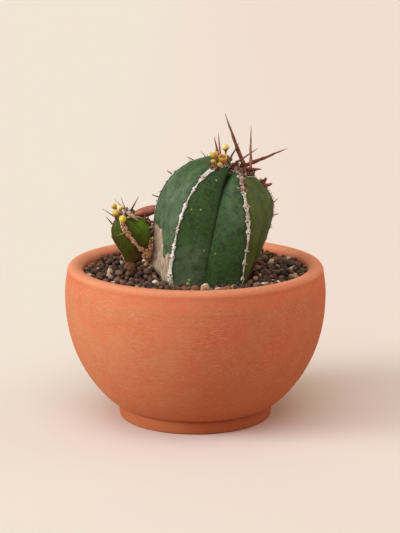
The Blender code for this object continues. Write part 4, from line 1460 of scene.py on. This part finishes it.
# %% Cyathia and buds
# Lifts and widths are in millimetres, and angles in degrees.
CYATHIUM_ROW = "stem node turn level lift azimuth elevation width colour is_open"
Cyathium = namedtuple("Cyathium", CYATHIUM_ROW, defaults=[False])
STALK_RADIUS = 0.5 * MM
YELLOW = screen(226, 172, 66)
PALE_YELLOW = screen(246, 214, 126)
BRIGHT_YELLOW = screen(238, 204, 62)
DULL_YELLOW = screen(214, 176, 84)
OCHRE = screen(188, 128, 40)
CUP_BROWN = screen(148, 84, 26)
STALK_BROWN = screen(162, 108, 66)
MAIN_CYATHIA = (
    ("open_flower_left", 1, 0.84, 6.7, -96, 77, 4.9, YELLOW, True),
    ("open_flower_front", 1, 0.885, 3.9, 8, 64, 5.6, YELLOW, True),
    ("flower_bud_tall", 5, 0.89, 6.5, -4, 72, 4.0, PALE_YELLOW),
    ("flower_bud_small_left", 1, 0.815, 4.0, -25, 75, 2.4, DULL_YELLOW),
    ("flower_bud_small_right", 1, 0.86, 3.3, 6, 16, 2.7, DULL_YELLOW),
)
OFFSET_CYATHIA = (
    ("offset_bud_upper_left", 4.75, 0.88, 6.0, -109, 58, 3.5, DULL_YELLOW),
    ("offset_bud_upper_right", 0, 0.95, 3.4, -136, 75, 3.3, PALE_YELLOW),
    ("offset_bud_middle", 0.35, 0.79, 4.3, 15, 69, 4.1, DULL_YELLOW),
    ("offset_bud_front", 1, 0.76, 3.2, 8, 3, 4.1, BRIGHT_YELLOW),
)
CYATHIA = [Cyathium(MAIN_STEM, *row) for row in MAIN_CYATHIA]
CYATHIA += [Cyathium(OFFSET_STEM, *row) for row in OFFSET_CYATHIA]
CUP = (
    (0.45, -0.75), (0.76, -0.62), (0.92, -0.35), (0.94, -0.05), (0.95, 0.12), (1.0, 0.22),
    (0.99, 0.36), (0.86, 0.44), (0.70, 0.38), (0.60, 0.22), (0.50, 0.02), (0.30, -0.08),
    (0.0, -0.10),
)
BUD = (
    (0.34, -1.15), (0.46, -0.98), (0.66, -0.74), (0.88, -0.38), (1.0, 0.0), (0.97, 0.30),
    (0.84, 0.58), (0.62, 0.80), (0.34, 0.93), (0.12, 0.97), (0.0, 0.93),
)
CUP_DEPTH = 0.95
BUD_DEPTH = 1.3
GLANDS = 5
THREADS = 9


def open_cup(vert, out, share, lobes, half):
    """Draw the rim of an open cup into lobes, and give the tone there."""
    if share > 0.05 and out > 0.55:
        vert.co.xy *= 1.0 - 0.16 * (1.0 - lobes) ** 2
        vert.co.z += 0.12 * half * lobes
        return YELLOW if out > 0.62 else OCHRE
    return CUP_BROWN if out < 0.56 and share > -0.3 else OCHRE


def closed_bud(vert, share, lobes, colour):
    """Pinch a bud between its five parts, and give the tone there."""
    vert.co.xy *= 1.0 - 0.10 * (1.0 - lobes) ** 2 * smooth_step(share, 0.1, 0.9)
    if share < -0.75:
        return CUP_BROWN
    return colour if share > -0.35 else OCHRE


def flower_shape(item, dice):
    lift, width = mm(item.lift, item.width)
    half = width / 2.0
    neck = lift - (CUP_DEPTH if item.is_open else BUD_DEPTH) * half
    outline = [(0.0, 0.0), (STALK_RADIUS, 0.0)]
    outline += [(STALK_RADIUS * (1.0 + 0.25 * math.sin(5 * s)), neck * s) for s in (0.3, 0.6, 0.8)]
    outline.append((STALK_RADIUS * 1.3, neck))
    curve = CUP if item.is_open else BUD
    outline += [(across * half, lift + along * half) for across, along in curve]
    shape = turned(outline, 40)
    colour = shape.verts.layers.float_color.new("petal_colour")
    spin = dice.uniform(0.0, 1.0)
    for vert in shape.verts:
        share = (vert.co.z - lift) / half
        out = vert.co.xy.length / half
        angle = math.atan2(vert.co.y, vert.co.x) + spin
        lobes = 0.5 + 0.5 * math.cos(GLANDS * angle)
        if vert.co.z < neck + 0.02 * half:
            tone = STALK_BROWN
        elif item.is_open:
            tone = open_cup(vert, out, share, lobes, half)
        else:
            tone = closed_bud(vert, share, lobes, item.colour)
        vert[colour] = tone
    return shape


def stamens(item, dice):
    """Short threads with a round head, in the middle of an open cup."""
    together = bmesh.new()
    lift, width = mm(item.lift, item.width)
    half = width / 2.0

    def radius_at(share):
        head = 0.45 + smooth_step(share, 0.55, 0.85)
        return 0.12 * half * head * (1.0 - share**8) ** 0.5

    for number in range(THREADS):
        around = math.tau * number / THREADS + dice.uniform(-0.2, 0.2)
        away = half * (0.18 if number % 3 == 0 else 0.36)
        shape = drawn_out(6, 8, half * 0.62, radius_at)
        paint_verts(shape, "petal_colour", lambda point: OCHRE if number % 2 else CUP_BROWN)
        place = Vector((away * math.cos(around), away * math.sin(around), lift - 0.2 * half))
        bmesh.ops.translate(shape, verts=shape.verts, vec=place)
        add_copy(together, shape)
    return together


for item in CYATHIA:
    shape = flower_shape(item, dice)
    roughen(shape, 0.16 * MM, 700.0)
    if item.is_open:
        add_copy(shape, stamens(item, dice))
    place = stand_on(item.stem, item.turn, item.level, STALK_RADIUS)
    set_down(shape, place, facing(item.azimuth, item.elevation))
    finish_piece(f"cyathium_{item.node}", shape, petal, [item.node])

# %% [markdown]
# ## Grit
# Real grit settles by itself: a stone rolls until it sits in a hollow. Here each stone tries a
# few places, rests on the soil or on the stones already there, and keeps the lowest. The stones
# of the CAD model come first, in their own places. Nearly eight hundred stones find a place, so
# each has only a few dozen faces.

# %% What the stones must stay clear of
def tree_of(*pieces):
    together = bmesh.new()
    for piece in pieces:
        together.from_mesh(piece.data)
    tree = BVHTree.FromBMesh(together)
    together.free()
    return tree


plant_tree = tree_of(main_piece, offset_piece, neck_piece, knot_piece)
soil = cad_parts["potting_soil"]
cad_stones = sorted(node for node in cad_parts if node.startswith("stone_"))
print("The CAD model has", len(cad_stones), "stones")


def clear_of_plant(place, radius):
    spot, normal, _, gap = plant_tree.find_nearest(place)
    return gap > radius * 0.92 and (place - spot).dot(normal) > 0.0


# %% Let the stones settle
SOIL_TOP = 82.0 * MM
SUNK = 0.55
STONE_TRIES = 9
STONE_TOP = 87.6 * MM
LARGE_STONES = 480
SMALL_STONES = 620
WALL_CLEARANCE = 0.6 * MM
NESTING = 0.94
dice = random.Random(23)
stones = []
for name in cad_stones:
    low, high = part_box(name)
    stones.append((middle_of((low, high)), (high.x - low.x) / 2.0))
placed = np.array([(*middle, radius) for middle, radius in stones])


def rest_height(x, y, radius):
    """Height at which a stone comes to rest there, on the soil or on other stones."""
    apart = (placed[:, 0] - x) ** 2 + (placed[:, 1] - y) ** 2
    reach = (NESTING * (placed[:, 3] + radius)) ** 2
    under = apart < reach
    if not under.any():
        return SOIL_TOP + SUNK * radius
    tops = placed[under, 2] + np.sqrt(reach[under] - apart[under])
    return max(SOIL_TOP + SUNK * radius, float(tops.max()))


sizes = [dice.uniform(2.0, 3.0) for _ in range(LARGE_STONES)]
sizes += [dice.uniform(1.0, 1.9) for _ in range(SMALL_STONES)]
for size in sizes:
    radius = size * MM
    best = None
    for _ in range(STONE_TRIES):
        away = (INNER_RADIUS - radius - WALL_CLEARANCE) * math.sqrt(dice.random())
        around = dice.uniform(0.0, math.tau)
        x = away * math.cos(around)
        y = away * math.sin(around)
        height = rest_height(x, y, radius)
        if height + radius > STONE_TOP or not clear_of_plant(Vector((x, y, height)), radius):
            continue
        if best is None or height < best.z:
            best = Vector((x, y, height))
    if best is not None:
        stones.append((best, radius))
        placed = np.vstack([placed, (*best, radius)])
print(len(stones), "stones have settled")

# %% Stones raked up against the neck
HEAP_STONES = 26
HEAP_TOP = 89.5 * MM
for _ in range(HEAP_STONES):
    radius = dice.uniform(1.5, 2.5) * MM
    away = neck_radius + radius + dice.uniform(0.0, 7.0) * MM
    spot = neck_middle + heading(dice.uniform(-110.0, 70.0), 0.0) * away
    height = rest_height(spot.x, spot.y, radius)
    if clear_of_plant(Vector((spot.x, spot.y, height)), radius) and height < HEAP_TOP:
        stones.append((Vector((spot.x, spot.y, height)), radius))
        placed = np.vstack([placed, (spot.x, spot.y, height, radius)])
print(len(stones), "stones with the heap")

# %% Shape and colour the stones
STONE_COLOURS = (
    (0.31, screen(72, 42, 32)),
    (0.20, screen(98, 65, 49)),
    (0.11, screen(118, 84, 72)),
    (0.18, screen(36, 19, 15)),
    (0.07, screen(140, 82, 56)),
    (0.08, screen(184, 134, 100)),
    (0.06, screen(220, 184, 156)),
    (0.02, screen(240, 224, 208)),
)
LUMPINESS = 0.42


def stone_colour(dice):
    chances, colours = zip(*STONE_COLOURS)
    colour = dice.choices(colours, chances)[0]
    shade = dice.uniform(0.8, 1.15)
    return (*[min(1.0, value * shade) for value in colour[:3]], 1.0)


heap = bmesh.new()
for number, (middle, radius) in enumerate(stones):
    shape = bmesh.new()
    bmesh.ops.create_uvsphere(shape, u_segments=9, v_segments=6, radius=0.97 * radius)
    stretch = Vector((dice.uniform(0.95, 1.2), dice.uniform(0.85, 1.05), dice.uniform(0.75, 0.98)))
    spin = Vector((dice.uniform(-1, 1), dice.uniform(-1, 1), dice.uniform(0.2, 1))).to_track_quat()
    own_place = Vector((0, 0, 7.7 * number))
    for vert in shape.verts:
        lump = 1.0 + LUMPINESS * noise.noise(vert.co * (0.75 / radius) + own_place)
        vert.co = vert.co * stretch * lump
    tone = stone_colour(dice)
    paint_verts(shape, "stone_colour", lambda point: tone)
    set_down(shape, middle, spin)
    add_copy(heap, shape)
finish_piece("top_grit", heap, grit, cad_stones)
soil.data.materials.clear()
soil.data.materials.append(soil_mix)

# %% [markdown]
# ## Studio
# The plant stands on a wide pale floor that runs to the horizon in every direction, so it looks
# the same from all sides. The key lamp is low and far to the left, and gives the bowl and the
# ribs their form. A large soft lamp high in front on the left works like a window. A low lamp on
# the right opens the far side, a weak one behind lifts the edges, and the warm sky fills the
# shadows. Each lamp is a sun with a wide angle, because a large lamp gives soft shadows.

# %% Floor
floor_finish, recipe = new_finish("studio_floor")
across = recipe.node("ShaderNodeSeparateXYZ", {0: recipe.place}).outputs["X"]
drift = recipe.spread(across, -110 * MM, 110 * MM)
seen = recipe.blend(drift, screen(237, 217, 209), screen(237, 211, 205))
bounced = recipe.blend(0.55, seen, screen(120, 100, 84))
camera_ray = recipe.node("ShaderNodeLightPath").outputs["Is Camera Ray"]
coat(recipe, recipe.blend(camera_ray, bounced, seen), 1.0, 0.0)
FLOOR_SIZE = 30.0
floor_shape = bmesh.new()
bmesh.ops.create_grid(floor_shape, x_segments=1, y_segments=1, size=FLOOR_SIZE)
floor = place_mesh("floor", floor_shape, floor_finish)

# %% Lamps and sky
LAMP_DISTANCE = 2.0


def add_sun(name, azimuth, elevation, strength, colour, spread):
    lamp = bpy.data.lights.new(name, "SUN")
    lamp.energy = strength * math.pi
    lamp.color = colour
    lamp.angle = math.radians(spread)
    holder = bpy.data.objects.new(name, lamp)
    holder.rotation_euler = (-heading(azimuth, elevation)).to_track_quat("-Z", "Y").to_euler()
    holder.location = heading(azimuth, elevation) * LAMP_DISTANCE
    bpy.context.scene.collection.objects.link(holder)


add_sun("key", -75, 20, 0.82, (0.80, 1.0, 0.96), 30)
add_sun("window", -18, 58, 0.59, (0.71, 0.91, 0.98), 70)
add_sun("right_fill", 94, 16, 0.34, (0.88, 1.0, 0.82), 65)
add_sun("back_fill", 180, 50, 0.13, (0.45, 1.0, 0.60), 70)

SKY_LIGHT = (0.325, 0.185, 0.13, 1.0)
world = bpy.data.worlds.new("studio")
bpy.context.scene.world = world
world.use_nodes = True
recipe = Recipe(world.node_tree)
world.node_tree.nodes.clear()
rays = recipe.node("ShaderNodeLightPath").outputs
shown = recipe.maths("MAXIMUM", rays["Is Camera Ray"], rays["Is Glossy Ray"])
shown = recipe.maths("MAXIMUM", shown, rays["Is Transmission Ray"])
sky = recipe.blend(shown, SKY_LIGHT, screen(240, 223, 208))
backdrop = recipe.node("ShaderNodeBackground", {"Color": sky, "Strength": 1.0})
recipe.node("ShaderNodeOutputWorld", {"Surface": backdrop.outputs[0]})

# %% Camera
CAMERA_DISTANCE = 1.0
CAMERA_RISE = 0.313
CAMERA_SIDE = 2.67 * MM
CAMERA_DIP = 12.74
SENSOR_HEIGHT = 36.0
LENS_LENGTH = 120.6304
HORIZON = 100.0
camera_data = bpy.data.cameras.new("camera")
camera_data.sensor_fit = "VERTICAL"
camera_data.sensor_height = SENSOR_HEIGHT
camera_data.lens = LENS_LENGTH
camera_data.clip_end = HORIZON
camera = bpy.data.objects.new("camera", camera_data)
camera.location = (CAMERA_SIDE, -CAMERA_DISTANCE, CAMERA_RISE)
camera.rotation_euler = (math.radians(90.0 - CAMERA_DIP), 0.0, 0.0)
bpy.context.scene.collection.objects.link(camera)
bpy.context.scene.camera = camera
bpy.context.scene.view_settings.view_transform = "Standard"
print("Camera at", [round(value, 3) for value in camera.location])
